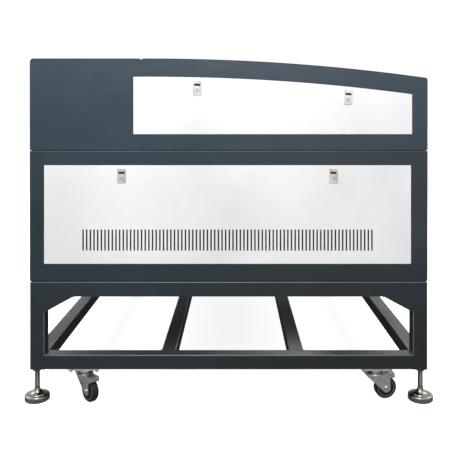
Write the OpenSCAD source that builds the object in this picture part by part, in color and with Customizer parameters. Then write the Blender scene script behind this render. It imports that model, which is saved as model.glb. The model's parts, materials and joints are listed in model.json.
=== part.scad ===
// Carbon dioxide laser cutting machine on a welded stand.
// X runs left to right, the operator stands at -Y, and Z = 0 is the floor.

/* [Overall] */
// Width of the cabinet, left to right
machine_w = 1850; // [1750:10:2100]
// Depth of the cabinet, front to back
machine_d = 1360; // [1320:10:1500]
// Thickness of the cabinet sheet
sheet = 2; // [1.5:0.5:3]
// Height of the dark seam over the stand and over the cabinet
seam = 3; // [2:0.5:5]

/* [Stand] */
// Height of the stand's underside above the floor
floor_gap = 111; // [108:1:125]
// Height of the welded stand
stand_h = 300; // [260:5:400]
// Outside width of the square tube
tube = 50; // [46:1:56]
// Wall of the square tube
tube_wall = 2.5; // [2:0.5:4]
// Distance between the two floor bars, from middle to middle
floor_bars_apart = 446; // [300:2:700]
// Distance of the pair of floor bars in front of the middle
floor_bars_front = 13; // [0:1:40]
// Length of a gusset along its rail
gusset_l = 100; // [60:5:140]
// Drop of a gusset below its rail
gusset_h = 54; // [30:2:80]
// Thickness of a gusset
gusset_t = 4; // [3:0.5:6]

/* [Feet] */
// Diameter of a levelling foot's pad
pad_d = 85; // [75:1:90]
// Height of a levelling foot's pad
pad_h = 45; // [35:1:50]
// Diameter of a levelling foot's rod
rod_d = 18; // [14:1:19]
// Width of the locknut across its flats
nut_w = 27; // [24:1:28]
// Height of the locknut
nut_h = 10; // [8:1:14]
// Distance of a foot outside the middle line of its leg
foot_out = 7; // [0:1:9]

/* [Casters] */
// Distance of the front swivels from the middle of the depth
caster_y = 507; // [480:1:520]
// Distance of the rear swivels from the middle of the depth
caster_rear_y = 497; // [480:1:520]
// Diameter of a caster wheel
wheel_d = 75; // [65:1:78]
// Width of a caster wheel
wheel_w = 24; // [20:1:28]
// Height of a wheel above the floor
wheel_lift = 4.5; // [2:0.5:6]
// Distance from the swivel to the axle
caster_trail = 34; // [28:1:38]
// Length of a caster plate
caster_plate_l = 106; // [90:1:112]
// Width of a caster plate
caster_plate_w = 60; // [50:1:70]
// Diameter of a caster axle
axle_d = 10; // [8:1:12]
// Reach of a fork's crown past the axle, over the wheel
crown_over = 30; // [28:1:34]
// Reach of a fork's crown behind the swivel
crown_heel = 38; // [32:1:42]
// Depth of the crown's skirt
skirt_h = 17; // [10:1:18]

/* [Cabinet] */
// Height of the cabinet between its seams
cabinet_h = 445; // [430:5:520]
// Width of the turned-in edge of a sheet
flange = 25; // [15:1:30]
// Margin between the lower side door and the front
lower_door_front = 57; // [50:1:80]
// Margin between the lower side door and the rear
lower_door_rear = 49; // [45:1:80]
// Margin over the lower side door
lower_door_top = 49; // [40:1:60]
// Margin under the lower side door
lower_door_bottom = 59; // [45:1:70]
// Width of the front door
front_door_w = 1200; // [900:10:1300]
// Number of ventilation slots in the lower side door
vent_count = 80; // [60:1:84]
// Distance from one ventilation slot to the next
vent_pitch = 12.5; // [10:0.5:13]
// Width of a ventilation slot
vent_w = 5; // [3:0.5:7]
// Height of a ventilation slot
vent_h = 72; // [40:1:90]
// Height of the slots over the door's lower edge
vent_up = 45; // [30:1:60]

/* [Hood] */
// Height of the hood above the cabinet's seam at the rear
hood_h = 313; // [300:1:340]
// Radius of the hood's sloping front
hood_r = 6800; // [6000:100:8000]
// Place in the depth where the slope begins
slope_y = 270; // [200:5:290]
// Radius of the rear top edge
rear_r = 12; // [9:1:16]
// Radius of the front top edge
front_r = 9; // [7:1:12]
// Thickness of the lid and the covers
skin = 2.5; // [2:0.5:3]
// Depth of the hood's rear compartment, from the rear to the lid's hinge
tube_bay_d = 380; // [370:1:420]
// Width of the control deck at the right
deck_w = 300; // [280:5:340]
// Margin over the upper side door
upper_door_top = 62.5; // [55:0.5:70]
// Margin under the upper side door
upper_door_bottom = 54; // [45:1:60]
// Margin between the upper side door and the front
upper_door_front = 53; // [45:1:70]
// Margin between the upper side door and the rear
upper_door_rear = 354; // [340:1:400]
// Width of the lid's window
window_w = 1240; // [1000:10:1300]
// Depth of the lid's window
window_d = 640; // [500:10:700]
// Distance from the front to the window
window_front = 110; // [90:5:150]
// Thickness of the lid's window
window_t = 4; // [3:0.5:6]
// Drop of the lid's front lip
lip_h = 32; // [25:1:40]

/* [Latches] */
// Width of a latch plate
latch_w = 30; // [28:1:36]
// Height of a latch plate
latch_h = 48; // [46:1:56]
// Thickness of a latch plate
latch_t = 2.5; // [2.5:0.5:4]
// Drop of a latch below its door's top edge, to its middle
latch_drop = 36; // [34:1:46]
// Distance of a lower latch from the middle of its door
lower_latch_y = 362; // [300:1:450]
// Distance of an upper latch from the middle of its door
upper_latch_y = 258; // [200:1:350]
// Tilt of the rear upper latch
rear_latch_tilt = 1; // [0:0.5:2]
// Tilt of the front upper latch
front_latch_tilt = 4; // [2:0.5:6]

/* [Inside] */
// Diameter of the laser tube
tube_d = 80; // [50:5:90]
// Length of the laser tube
laser_l = 1430; // [1200:10:1430]
// Height of the beam above the cabinet's seam
beam_up = 160; // [155:1:175]
// Diameter of the lens tube
lens_d = 26; // [22:1:30]
// Height of the cutting table above the cabinet's floor
table_up = 455; // [440:5:460]
// Number of blades in the cutting table
blade_count = 22; // [12:1:26]
// Diameter of the drive shaft
shaft_d = 12; // [10:1:16]
// Diameter of a drive pulley
pulley_d = 30; // [26:1:36]
// Diameter of an exhaust spigot
spigot_d = 150; // [100:5:160]
// Length of an exhaust spigot
spigot_l = 60; // [40:5:90]
// Diameter of a gas strut's cylinder
strut_d = 18; // [15:1:20]
// Diameter of a gas strut's rod
strut_rod_d = 8; // [6:1:10]

/* [Controls] */
// Width of the control panel
panel_w = 190; // [160:5:210]
// Height of the control panel, up the slope
panel_l = 140; // [120:5:160]
// Diameter of the emergency stop's mushroom
stop_d = 40; // [30:1:45]
// Diameter of the key switch
key_d = 22; // [16:1:28]

/* [Fits] */
// Gap round a door and under the lid
door_gap = 1.5; // [1:0.25:2.5]
// Clearance of a pin or a shaft in its bore, on the radius
fit = 0.1; // [0.05:0.05:0.2]
// Clearance between sliding faces
slide_gap = 0.5; // [0.3:0.1:1]

/* [Hidden] */
$fn = 48;
eps = 0.01;

half_w = machine_w / 2;
half_d = machine_d / 2;

// heights of the three stages
stand_top = floor_gap + stand_h;
cabinet_z0 = stand_top + seam;
cabinet_z1 = cabinet_z0 + cabinet_h;
hood_z0 = cabinet_z1 + seam;
hood_top = hood_z0 + hood_h;

// the hood's side outline: two rounded corners and one shallow arc between them
slope_mid = [slope_y, hood_top - hood_r];
front_slope = asin((half_d + slope_y - front_r) / (hood_r - front_r));
front_mid = [-half_d + front_r, slope_mid[1] + (hood_r - front_r) * cos(front_slope)];
rear_mid = [half_d - rear_r, hood_top - rear_r];

// stand
leg_x = half_w - tube / 2;
leg_y = half_d - tube / 2;
cap_t = 6;
sides = [-1, 1];

// feet
rod_top = floor_gap + 60;
foot_y = leg_y + foot_out;
foot_rim_h = 10;
foot_groove = 1.5;
foot_round = 6;
foot_top = foot_rim_h + 3 * foot_groove + foot_round;

// casters, seen from above: [x side, y side, turn of the fork]
casters = [[-1, -1, 8], [1, -1, -35], [-1, 1, -46], [1, 1, -150]];
function swivel_y(c) = c[1] < 0 ? -caster_y : caster_rear_y;
caster_plate_t = 4;
axle_z = wheel_lift + wheel_d / 2;
crown_z = floor_gap - caster_plate_t - 15;
cheek_t = 3;
cheek_gap = 2;
cheek_w = 30;
crown_d = 58;
kingpin_d = 12;

// cabinet
lower_door = [
    -half_d + lower_door_front, cabinet_z0 + lower_door_bottom,
    half_d - lower_door_rear, cabinet_z1 - lower_door_top
];
lower_door_mid = (lower_door[0] + lower_door[2]) / 2;
front_door = [-front_door_w / 2, lower_door[1], front_door_w / 2, lower_door[3]];
door_edge = 12;
pull_w = 120;
pull_h = 26;
pull_d = 22;
pivot_in = sheet + 2;
pivot_up = 8;
pivot_l = 10;
spigot_x = [-420, 300];
spigot_y = half_d - 240;
spigot_wall = 1.5;

// hood
hinge_y = half_d - tube_bay_d;
hinge_r = 4;
hinge_z = hood_top - hinge_r;
hinge_pin_d = 3;
front_split = front_mid[1];
lip_z = front_split - lip_h;
rear_split = hood_top - rear_r;
cap_gap = 0.5;
cover_axis_y = half_d + 5;
cover_axis_z = rear_split;
deck_x = half_w - deck_w;
upper_door = [
    -half_d + upper_door_front, hood_z0 + upper_door_bottom,
    half_d - upper_door_rear, hood_top - upper_door_top
];
upper_door_mid = (upper_door[0] + upper_door[2]) / 2;
window_x = (-half_w + deck_x) / 2;
beam_box = [hinge_y - 3, hinge_z - 26, hinge_y + 37, hinge_z - 6];
lid_end_x = deck_x - door_gap;
rib_x = [-half_w + 50, deck_x - 40];
rib_h = 22;
rib_rear = hinge_y - 19;

// gas struts, in the plane across the machine
strut_base_at = [100, -241];
strut_stud_at = [-250, -26];
strut_base = [hinge_y + strut_base_at[0], hinge_z + strut_base_at[1]];
strut_stud = [hinge_y + strut_stud_at[0], hinge_z + strut_stud_at[1]];
strut_dir = strut_stud - strut_base;
strut_len = norm(strut_dir);
strut_tilt = atan2(strut_dir[1], strut_dir[0]);
strut_rod_out = 150;
strut_cyl_l = strut_len - strut_rod_out;
strut_x = [-half_w + sheet + 22, deck_x - 14];
strut_neck_l = 18;
strut_neck_d = 5;
strut_guide_l = 12;
strut_base_t = 4;
stud_d = 8;
eye_d = stud_d + 8;
eye_t = 6;

// latches: [y, z, tilt] of each latch's middle
function slope_at(y) = y < slope_y ? pow(slope_y - y, 2) / (2 * hood_r) : 0;
function upper_latch(side, tilt) =
    let (y = upper_door_mid + side * upper_latch_y)
    [y, hood_top - upper_door_top - slope_at(y) - latch_drop, tilt];
function lower_latch(side) =
    [lower_door_mid + side * lower_latch_y, lower_door[3] - latch_drop, 0];
upper_latches = [upper_latch(-1, front_latch_tilt), upper_latch(1, rear_latch_tilt)];
lower_latches = [lower_latch(-1), lower_latch(1)];
latch_top_r = 2;
latch_foot_r = 5;
latch_hole_w = 21;
latch_hole_top = 10;
latch_hole_h = 30;
paddle_h = 22;
paddle_t = 2;
paddle_gap = 0.4;
paddle_pin_d = 1.2;
paddle_pin_l = 1.5;
paddle_z = latch_h / 2 - latch_hole_top - latch_hole_h + paddle_gap;

// inside
rail_x = [-half_w + 125, deck_x - 70];
wall_box_w = 50;
rail_w = 15;
rail_h = 12;
beam_z = hood_z0 + beam_up;
rail_z = beam_z - 80;
rail_y = [-half_d + 50, half_d - 240];
gantry_y = hinge_y + 60;
gantry_d = 60;
gantry_h = 70;
gantry_wall = 4;
gantry_z0 = beam_z - 50;
gantry_x = [rail_x[0] - wall_box_w / 2, rail_x[1] + wall_box_w / 2];
bearing_l = 80;
bearing_w = 40;
guide_t = 8;
guide_z = [beam_z - 21, beam_z - 9];
carriage_x = rail_x[1] - 80;
carriage_w = 90;
carriage_t = 12;
nozzle_y = gantry_y - gantry_d / 2 - 42;
lens_holder = 40;
laser_x = -half_w + 110;
laser_y = half_d - 160;
shelf_z = beam_z - tube_d / 2 - 26;
glass_tip = [18, 20];
glass_neck_l = 60;
cradle_in = 260;
cradle_l = 20;
cradle_wall = 12;
mirror_out = 25;
mirror_d = 28;
mirror_plate = [10, 36];
mirror_up = 20;
beam_hole_d = 16;
table_box = [rail_x[0] + 60, -half_d + 80, rail_x[1] - 60, hinge_y - 5];
table_z = cabinet_z0 + table_up;
table_rim = 30;
shaft_in = 15;
idler_in = 25;
shaft_y = rail_y[1] - shaft_in;
shaft_z = rail_z + 8;
idler_y = rail_y[0] + idler_in;
// the motor drivers, the controller and the laser's supply, on the floor at the right
driver = [50, 120, 90];
driver_count = 3;
driver_gap = 20;
controller = [220, 240, 60];
supply = [180, 320, 190];
bay_gap = 60;
bay_x = rail_x[1] + wall_box_w + 40;
bay_y = -half_d + 200;
pulley_x = [rail_x[0] + 45, rail_x[1] - 45];
belt_t = 2;
belt_w = 10;

// controls, on the slope of the deck
deck_mid = deck_x + deck_w / 2;
panel_in = 300;
panel_y = -half_d + panel_in;
stop_y = -half_d + 130;
stop_x = deck_mid + 60;
key_x = deck_mid - 60;
stop_stem_d = 16;
key_y = stop_y;

// ---- shapes that repeat ----

// A 2D outline of depth and height, given thickness t across the machine from x
module across(x, t) {
    translate([x, 0, 0]) rotate([90, 0, 90]) linear_extrude(t) children();
}

// A rectangle from its lowest to its highest corner
module rect(b, grow = 0) {
    translate([b[0] - grow, b[1] - grow])
        square([b[2] - b[0] + 2 * grow, b[3] - b[1] + 2 * grow]);
}

// A block from its lowest to its highest corner
module block(a, b) {
    translate(a) cube(b - a);
}

// A square tube of length l along +Z, open at both ends
module square_tube(l) {
    inner = tube - 2 * tube_wall;
    difference() {
        translate([-tube / 2, -tube / 2, 0]) cube([tube, tube, l]);
        translate([-inner / 2, -inner / 2, -1]) cube([inner, inner, l + 2]);
    }
}

// Points round an arc, from angle a to angle b
function arc(mid, r, a, b, n) = [
    for (i = [0:n]) let (t = a + (b - a) * i / n) mid + r * [cos(t), sin(t)]
];

// The sloping top, moved inwards by inset
function slope_arc(inset) = arc(slope_mid, hood_r - inset, 90 + front_slope, 90, 24);

// The hood's side outline, moved inwards by inset
function hood_points(inset) = concat(
    [[-half_d + inset, hood_z0]],
    arc(front_mid, front_r - inset, 180, 90 + front_slope + 10, 6),
    slope_arc(inset),
    arc(rear_mid, rear_r - inset, 90, 0, 6),
    [[half_d - inset, hood_z0]]
);

// The skin's section, of thickness t, over the whole hood
module skin_band(t) {
    difference() {
        polygon(hood_points(0));
        polygon(hood_points(t));
    }
}

// Everything under the sloping top moved inwards by inset
module under_slope(inset) {
    pts = slope_arc(inset);
    polygon(concat(
        [[pts[0][0], hood_z0]], pts, [[half_d, hood_top - inset], [half_d, hood_z0]]
    ));
}

// The part of a side outline that the lid and the covers lie over
module cap_region(lower = 0) {
    translate([-half_d - 1, front_split + lower]) square([half_d + 1, hood_h]);
    translate([0, rear_split + lower]) square([half_d + 1, hood_h]);
}

// A butt hinge's barrels: on one side of the joint when moving is true, on the other when not
module barrels(x0, x1, y, z, r, moving, count = 3) {
    pitch = (x1 - x0) / count;
    barrel_l = 90;
    for (i = [0:count - 1]) {
        mid = x0 + pitch * (i + 0.5);
        if (moving) {
            difference() {
                translate([mid - barrel_l / 6 + slide_gap, y, z]) rotate([0, 90, 0])
                    cylinder(r = r, h = barrel_l / 3 - 2 * slide_gap);
                translate([mid - barrel_l, y, z]) rotate([0, 90, 0])
                    cylinder(d = hinge_pin_d + 2 * fit, h = 2 * barrel_l);
            }
        } else {
            for (s = sides) translate([mid + s * barrel_l / 3 - barrel_l / 6, y, z])
                rotate([0, 90, 0]) cylinder(r = r, h = barrel_l / 3);
            translate([mid - barrel_l / 2, y, z]) rotate([0, 90, 0])
                cylinder(d = hinge_pin_d, h = barrel_l);
        }
    }
}

// Blocks that join a hinge's barrels to a leaf, over the same lengths as the barrels
module barrel_roots(x0, x1, a, b, moving, count = 3) {
    pitch = (x1 - x0) / count;
    barrel_l = 90;
    for (i = [0:count - 1]) {
        mid = x0 + pitch * (i + 0.5);
        if (moving) block([mid - barrel_l / 6 + slide_gap, a[0], a[1]],
            [mid + barrel_l / 6 - slide_gap, b[0], b[1]]);
        else for (s = sides) block([mid + s * barrel_l / 3 - barrel_l / 6, a[0], a[1]],
            [mid + s * barrel_l / 3 + barrel_l / 6, b[0], b[1]]);
    }
}

// Pivots at the lower corners of a door that reaches from a to b along X and faces -Y at Y = 0:
// the door's pins when pins is true, the brackets that they turn in when not
module pivots(a, b, z, pins) {
    for (s = sides) translate([s < 0 ? a : b, pivot_in, z + pivot_up]) rotate([0, s * 90, 0]) {
        if (pins) translate([0, 0, -sheet]) cylinder(d = hinge_pin_d, h = sheet + door_gap + pivot_l);
        else translate([0, 0, door_gap]) difference() {
            block([-6, -sheet, 0], [6, 6, pivot_l + 4]);
            translate([0, 0, -1]) cylinder(d = hinge_pin_d + 2 * fit, h = pivot_l + 2);
        }
    }
}

// The pivots of a door in the left or the right end
module end_pivots(side, door, pins) {
    translate([side * half_w, 0, 0]) rotate(side * 90)
        pivots(side < 0 ? -door[2] : door[0], side < 0 ? -door[0] : door[2], door[1], pins);
}

// The pivots of the front door
module front_pivots(pins) {
    translate([0, -half_d, 0]) pivots(front_door[0], front_door[2], front_door[1], pins);
}

// ---- stand ----

module stand_legs() color("#3a4249") for (sx = sides) for (sy = sides) {
    translate([sx * leg_x, sy * leg_y, floor_gap]) difference() {
        union() {
            square_tube(stand_h);
            translate([-tube / 2 + tube_wall, -tube / 2 + tube_wall, 0])
                cube([tube - 2 * tube_wall, tube - 2 * tube_wall, cap_t]);
        }
        translate([0, sy * foot_out, -1]) cylinder(d = rod_d + 4 * fit, h = cap_t + 2);
    }
}

// A gusset's outline in the corner of a leg and the rail over it; side is the leg's side
module gusset_outline(side, l) {
    polygon([
        [side * l / 2, stand_top - tube], [side * (l / 2 - gusset_l), stand_top - tube],
        [side * l / 2, stand_top - tube - gusset_h]
    ]);
}

module stand_end_rails() color("#3a4249") for (sx = sides) {
    l = machine_d - 2 * tube;
    for (z = [floor_gap, stand_top - tube])
        translate([sx * leg_x, -l / 2, z + tube / 2]) rotate([-90, 0, 0]) square_tube(l);
    for (sy = sides)
        across(sx < 0 ? -half_w : half_w - gusset_t, gusset_t) gusset_outline(sy, l);
}

module stand_long_rails() color("#3a4249") {
    l = machine_w - 2 * tube;
    for (sy = sides) {
        for (z = [floor_gap, stand_top - tube])
            translate([-l / 2, sy * leg_y, z + tube / 2]) rotate([0, 90, 0]) square_tube(l);
        for (sx = sides)
            translate([0, sy < 0 ? -half_d + gusset_t : half_d, 0]) rotate([90, 0, 0])
                linear_extrude(gusset_t) gusset_outline(sx, l);
        translate([-l / 2, sy * floor_bars_apart / 2 - floor_bars_front, floor_gap + tube / 2])
            rotate([0, 90, 0]) square_tube(l);
    }
}

// ---- feet ----

// A foot's pad is a pressed bell: a grooved rim, a rounded shoulder, a step and a flare to the rod
module foot(sx, sy) color("silver") translate([sx * leg_x, sy * foot_y, 0]) {
    rim = pad_d / 2;
    groove = rim - foot_groove;
    flare = pad_h - foot_top - 2 * foot_groove;
    spread = rod_d / 2 + flare;
    rotate_extrude() polygon(concat(
        [
            [0, 0], [rim - 2, 0], [rim, 2], [rim, foot_rim_h],
            [groove, foot_rim_h], [groove, foot_rim_h + foot_groove], [rim, foot_rim_h + foot_groove]
        ],
        arc([rim - foot_round, foot_top - foot_round], foot_round, 0, 90, 5),
        [
            [spread + foot_groove, foot_top + foot_groove / 2],
            [spread, foot_top + 2 * foot_groove]
        ],
        arc([spread, pad_h], flare, 270, 180, 8),
        [[0, pad_h]]
    ));
    translate([0, 0, pad_h - 1]) cylinder(d = rod_d, h = rod_top - pad_h + 1);
}
module foot_front_left() foot(-1, -1);
module foot_front_right() foot(1, -1);
module foot_rear_left() foot(-1, 1);
module foot_rear_right() foot(1, 1);

module foot_nuts() color("#4a4a48") for (sx = sides) for (sy = sides) {
    translate([sx * leg_x, sy * foot_y, floor_gap - nut_h]) difference() {
        cylinder(d = nut_w / cos(30), h = nut_h, $fn = 6);
        translate([0, 0, -1]) cylinder(d = rod_d + 2 * fit, h = nut_h + 2);
    }
}

// ---- casters ----

module caster_plates() color("silver") for (c = casters) {
    x = c[0] * (leg_x - (caster_plate_w - tube) / 2);
    translate([x - caster_plate_w / 2, swivel_y(c) - caster_plate_l / 2,
        floor_gap - caster_plate_t]) cube([caster_plate_w, caster_plate_l, caster_plate_t]);
    translate([c[0] * leg_x, swivel_y(c), 0]) {
        translate([0, 0, crown_z + slide_gap]) cylinder(d = 46,
            h = floor_gap - caster_plate_t - crown_z - slide_gap);
        translate([0, 0, crown_z - cheek_t - 1]) cylinder(d = kingpin_d,
            h = floor_gap - crown_z);
        translate([0, 0, crown_z - cheek_t - slide_gap - 5]) cylinder(d = 20, h = 5);
    }
}

// One cheek of a fork, seen from its side: the crown's skirt over the wheel, a front edge that
// drops to the axle's round eye, and a straight edge that rises from the eye to the heel
module cheek(front) {
    eye = [-caster_trail, axle_z];
    heel = [crown_heel, crown_z - cheek_t];
    rise = heel - eye;
    touch = atan2(rise[1], rise[0]) - acos(cheek_w / 2 / norm(rise));
    polygon([
        [crown_heel, crown_z], [-front, crown_z], [-front, crown_z - skirt_h + cheek_t],
        [-front + cheek_t, crown_z - skirt_h], [eye[0] - cheek_w / 2 + 2, crown_z - skirt_h],
        [eye[0] - cheek_w / 2, eye[1]], eye, eye + cheek_w / 2 * [cos(touch), sin(touch)], heel
    ]);
    translate(eye) circle(d = cheek_w);
}

// One caster's fork with its axle; the wheel trails the swivel
module fork(c) color("silver") {
    gap = wheel_w / 2 + cheek_gap;
    wide = 2 * (gap + cheek_t);
    front = caster_trail + crown_over;
    translate([c[0] * leg_x, swivel_y(c), 0]) rotate(c[2]) {
        difference() {
            union() {
                translate([0, 0, crown_z - cheek_t]) cylinder(d = crown_d, h = cheek_t);
                translate([-wide / 2, -front, crown_z - cheek_t])
                    cube([wide, front + crown_heel, cheek_t]);
                translate([-wide / 2, -front, crown_z - skirt_h + cheek_t])
                    cube([wide, cheek_t, skirt_h - cheek_t]);
            }
            translate([0, 0, crown_z - cheek_t - 1])
                cylinder(d = kingpin_d + 2 * fit, h = cheek_t + 2);
        }
        for (s = sides) translate([s * (gap + cheek_t / 2) - cheek_t / 2, 0, 0])
            rotate([90, 0, 90]) linear_extrude(cheek_t) cheek(front);
        translate([-gap - cheek_t - 5, -caster_trail, axle_z]) rotate([0, 90, 0]) {
            cylinder(d = axle_d, h = 2 * (gap + cheek_t + 5));
            cylinder(d = axle_d + 6, h = 5, $fn = 6);
            translate([0, 0, 2 * (gap + cheek_t) + 5]) cylinder(d = axle_d + 6, h = 5, $fn = 6);
        }
    }
}

module wheel(c) color("#2a2a2a")
    translate([c[0] * leg_x, swivel_y(c), 0]) rotate(c[2])
    translate([-wheel_w / 2, -caster_trail, axle_z]) rotate([90, 0, 90]) rotate_extrude() {
        bore = axle_d / 2 + fit;
        rim = wheel_d / 2;
        polygon([
            [bore, -1], [bore + 5, -1], [bore + 6, 3], [rim - 11, 3], [rim - 9, 1], [rim - 3, 0],
            [rim, 4], [rim, wheel_w - 4], [rim - 3, wheel_w], [rim - 9, wheel_w - 1],
            [rim - 11, wheel_w - 3], [bore + 6, wheel_w - 3], [bore + 5, wheel_w + 1],
            [bore, wheel_w + 1]
        ]);
    }
module fork_front_left() fork(casters[0]);
module fork_front_right() fork(casters[1]);
module fork_rear_left() fork(casters[2]);
module fork_rear_right() fork(casters[3]);
module wheel_front_left() wheel(casters[0]);
module wheel_front_right() wheel(casters[1]);
module wheel_rear_left() wheel(casters[2]);
module wheel_rear_right() wheel(casters[3]);

// ---- cabinet ----

module seam_ring(z, inset, w) {
    difference() {
        block([-half_w + inset, -half_d + inset, z], [half_w - inset, half_d - inset, z + seam]);
        block([-half_w + inset + w, -half_d + inset + w, z - 1],
            [half_w - inset - w, half_d - inset - w, z + seam + 1]);
    }
}

module seam_seals() color("#1c1c1c") {
    seam_ring(stand_top, 4, tube - 8);
    seam_ring(cabinet_z1, 4, flange - 6);
}

module cabinet_end(side) color("#4a5863") {
    x = side < 0 ? -half_w : half_w - sheet;
    across(x, sheet) difference() {
        rect([-half_d, cabinet_z0, half_d, cabinet_z1]);
        rect(lower_door, door_gap);
    }
    for (z = [cabinet_z0, cabinet_z1 - sheet])
        block([side < 0 ? -half_w : half_w - flange, -half_d + sheet, z],
            [side < 0 ? -half_w + flange : half_w, half_d - sheet, z + sheet]);
    for (s = sides)
        block([side < 0 ? -half_w : half_w - flange, s < 0 ? -half_d : half_d - sheet, cabinet_z0],
            [side < 0 ? -half_w + flange : half_w, s < 0 ? -half_d + sheet : half_d, cabinet_z1]);
    end_pivots(side, lower_door, false);
}
module cabinet_end_left() cabinet_end(-1);
module cabinet_end_right() cabinet_end(1);

// A sheet across the front or the rear of the cabinet, between the ends' turned-in edges
module cabinet_face(side) {
    y = side < 0 ? -half_d : half_d - sheet;
    x = half_w - flange;
    block([-x, y, cabinet_z0], [x, y + sheet, cabinet_z1]);
    for (z = [cabinet_z0, cabinet_z1 - sheet])
        block([-x, side < 0 ? y : half_d - flange, z], [x, side < 0 ? y + flange : half_d, z + sheet]);
}

module cabinet_front() color("#4a5863") {
    difference() {
        cabinet_face(-1);
        block([front_door[0] - door_gap, -half_d - 1, front_door[1] - door_gap],
            [front_door[2] + door_gap, -half_d + sheet + 1, front_door[3] + door_gap]);
    }
    front_pivots(false);
}

module cabinet_rear() color("#4a5863") difference() {
    cabinet_face(1);
    for (s = sides) for (i = [0:11]) translate([s * machine_w / 4, 0, cabinet_z0 + 120 + 15 * i])
        block([-90, half_d - sheet - 1, 0], [90, half_d + 1, 6]);
}

module cabinet_floor() color("#59646b") difference() {
    block([-half_w + flange, -half_d + flange, cabinet_z0],
        [half_w - flange, half_d - flange, cabinet_z0 + sheet]);
    for (x = spigot_x) translate([x, spigot_y, cabinet_z0 - 1])
        cylinder(d = spigot_d - 2 * spigot_wall, h = sheet + 2);
}

module exhaust_spigots() color("silver") for (x = spigot_x)
    translate([x, spigot_y, cabinet_z0]) rotate_extrude() {
        r = spigot_d / 2;
        polygon([
            [r - spigot_wall, 0], [r - spigot_wall, -spigot_l], [r, -spigot_l], [r, -spigot_wall],
            [r + 14, -spigot_wall], [r + 14, 0]
        ]);
    }

module vents() for (i = [0:vent_count - 1])
    translate([lower_door_mid + (i - (vent_count - 1) / 2) * vent_pitch - vent_w / 2,
        lower_door[1] + vent_up]) square([vent_w, vent_h]);

module side_sheet(x, towards, depth) {
    across(towards > 0 ? x : x - sheet, sheet) difference() {
        rect(lower_door);
        vents();
        children();
    }
    across(towards > 0 ? x : x - depth, depth) difference() {
        rect(lower_door);
        rect(lower_door, -sheet);
    }
}

module latch_holes(latches) for (l = latches)
    translate([l[0], l[1]]) rotate(l[2])
        translate([-latch_hole_w / 2, latch_h / 2 - latch_hole_top - latch_hole_h])
        square([latch_hole_w, latch_hole_h]);

module lower_side_door() color("white") {
    side_sheet(-half_w, 1, door_edge) latch_holes(lower_latches);
    end_pivots(-1, lower_door, true);
}

module right_side_door() color("white") {
    side_sheet(half_w, -1, door_edge)
        translate([lower_door_mid - pull_w / 2, lower_door[3] - 2 * pull_h])
            square([pull_w, pull_h]);
    z = lower_door[3] - 2 * pull_h;
    difference() {
        block([half_w - pull_d, lower_door_mid - pull_w / 2 - sheet, z - sheet],
            [half_w - sheet, lower_door_mid + pull_w / 2 + sheet, z + pull_h + sheet]);
        block([half_w - pull_d + sheet, lower_door_mid - pull_w / 2, z],
            [half_w, lower_door_mid + pull_w / 2, z + pull_h]);
    }
    end_pivots(1, lower_door, true);
}

module front_door() color("white") {
    z = front_door[3] - 2 * pull_h;
    difference() {
        union() {
            block([front_door[0], -half_d, front_door[1]],
                [front_door[2], -half_d + door_edge, front_door[3]]);
            block([-pull_w / 2 - sheet, -half_d, z - sheet],
                [pull_w / 2 + sheet, -half_d + pull_d, z + pull_h + sheet]);
        }
        difference() {
            block([front_door[0] + sheet, -half_d + sheet, front_door[1] + sheet],
                [front_door[2] - sheet, -half_d + door_edge + 1, front_door[3] - sheet]);
            block([-pull_w / 2 - sheet, -half_d, z - sheet],
                [pull_w / 2 + sheet, -half_d + pull_d, z + pull_h + sheet]);
        }
        block([-pull_w / 2, -half_d - 1, z], [pull_w / 2, -half_d + pull_d - sheet, z + pull_h]);
    }
    front_pivots(true);
}

// ---- hood ----

module upper_door_outline(grow = 0) intersection() {
    rect(upper_door, grow);
    under_slope(upper_door_top - grow);
}

// Height of the hood's top at a depth, and the slope's angle there
function top_at(y) = y < slope_y ? slope_mid[1] + sqrt(pow(hood_r, 2) - pow(slope_y - y, 2)) : hood_top;
function tilt_at(y) = y < slope_y ? asin((slope_y - y) / hood_r) : 0;

module hood_side(side) {
    x = side < 0 ? -half_w : half_w - sheet;
    in_x = side < 0 ? -half_w + flange : half_w - flange;
    across(x, sheet) difference() {
        polygon(hood_points(0));
        intersection() {
            skin_band(skin + cap_gap);
            cap_region();
        }
        if (side < 0) upper_door_outline(door_gap);
    }
    block([min(side * half_w, in_x), -half_d + sheet, hood_z0],
        [max(side * half_w, in_x), half_d - sheet, hood_z0 + sheet]);
    block([min(side * half_w, in_x), -half_d, hood_z0],
        [max(side * half_w, in_x), -half_d + sheet, lip_z - door_gap]);
    block([min(side * half_w, in_x), half_d - sheet, hood_z0],
        [max(side * half_w, in_x), half_d, rear_split]);
    if (side < 0) end_pivots(side, upper_door, false);
}

// A stud that a gas strut swings on, reaching from a wall to past the strut
module strut_pin(x0, x1, at) {
    translate([x0, at[0], at[1]]) rotate([0, 90, 0]) cylinder(d = stud_d, h = x1 - x0);
}

module hood_side_left() color("#56636e") {
    hood_side(-1);
    strut_pin(-half_w + sheet, strut_x[0] + strut_d / 2, strut_base);
}
module hood_side_right() color("#56636e") hood_side(1);

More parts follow.
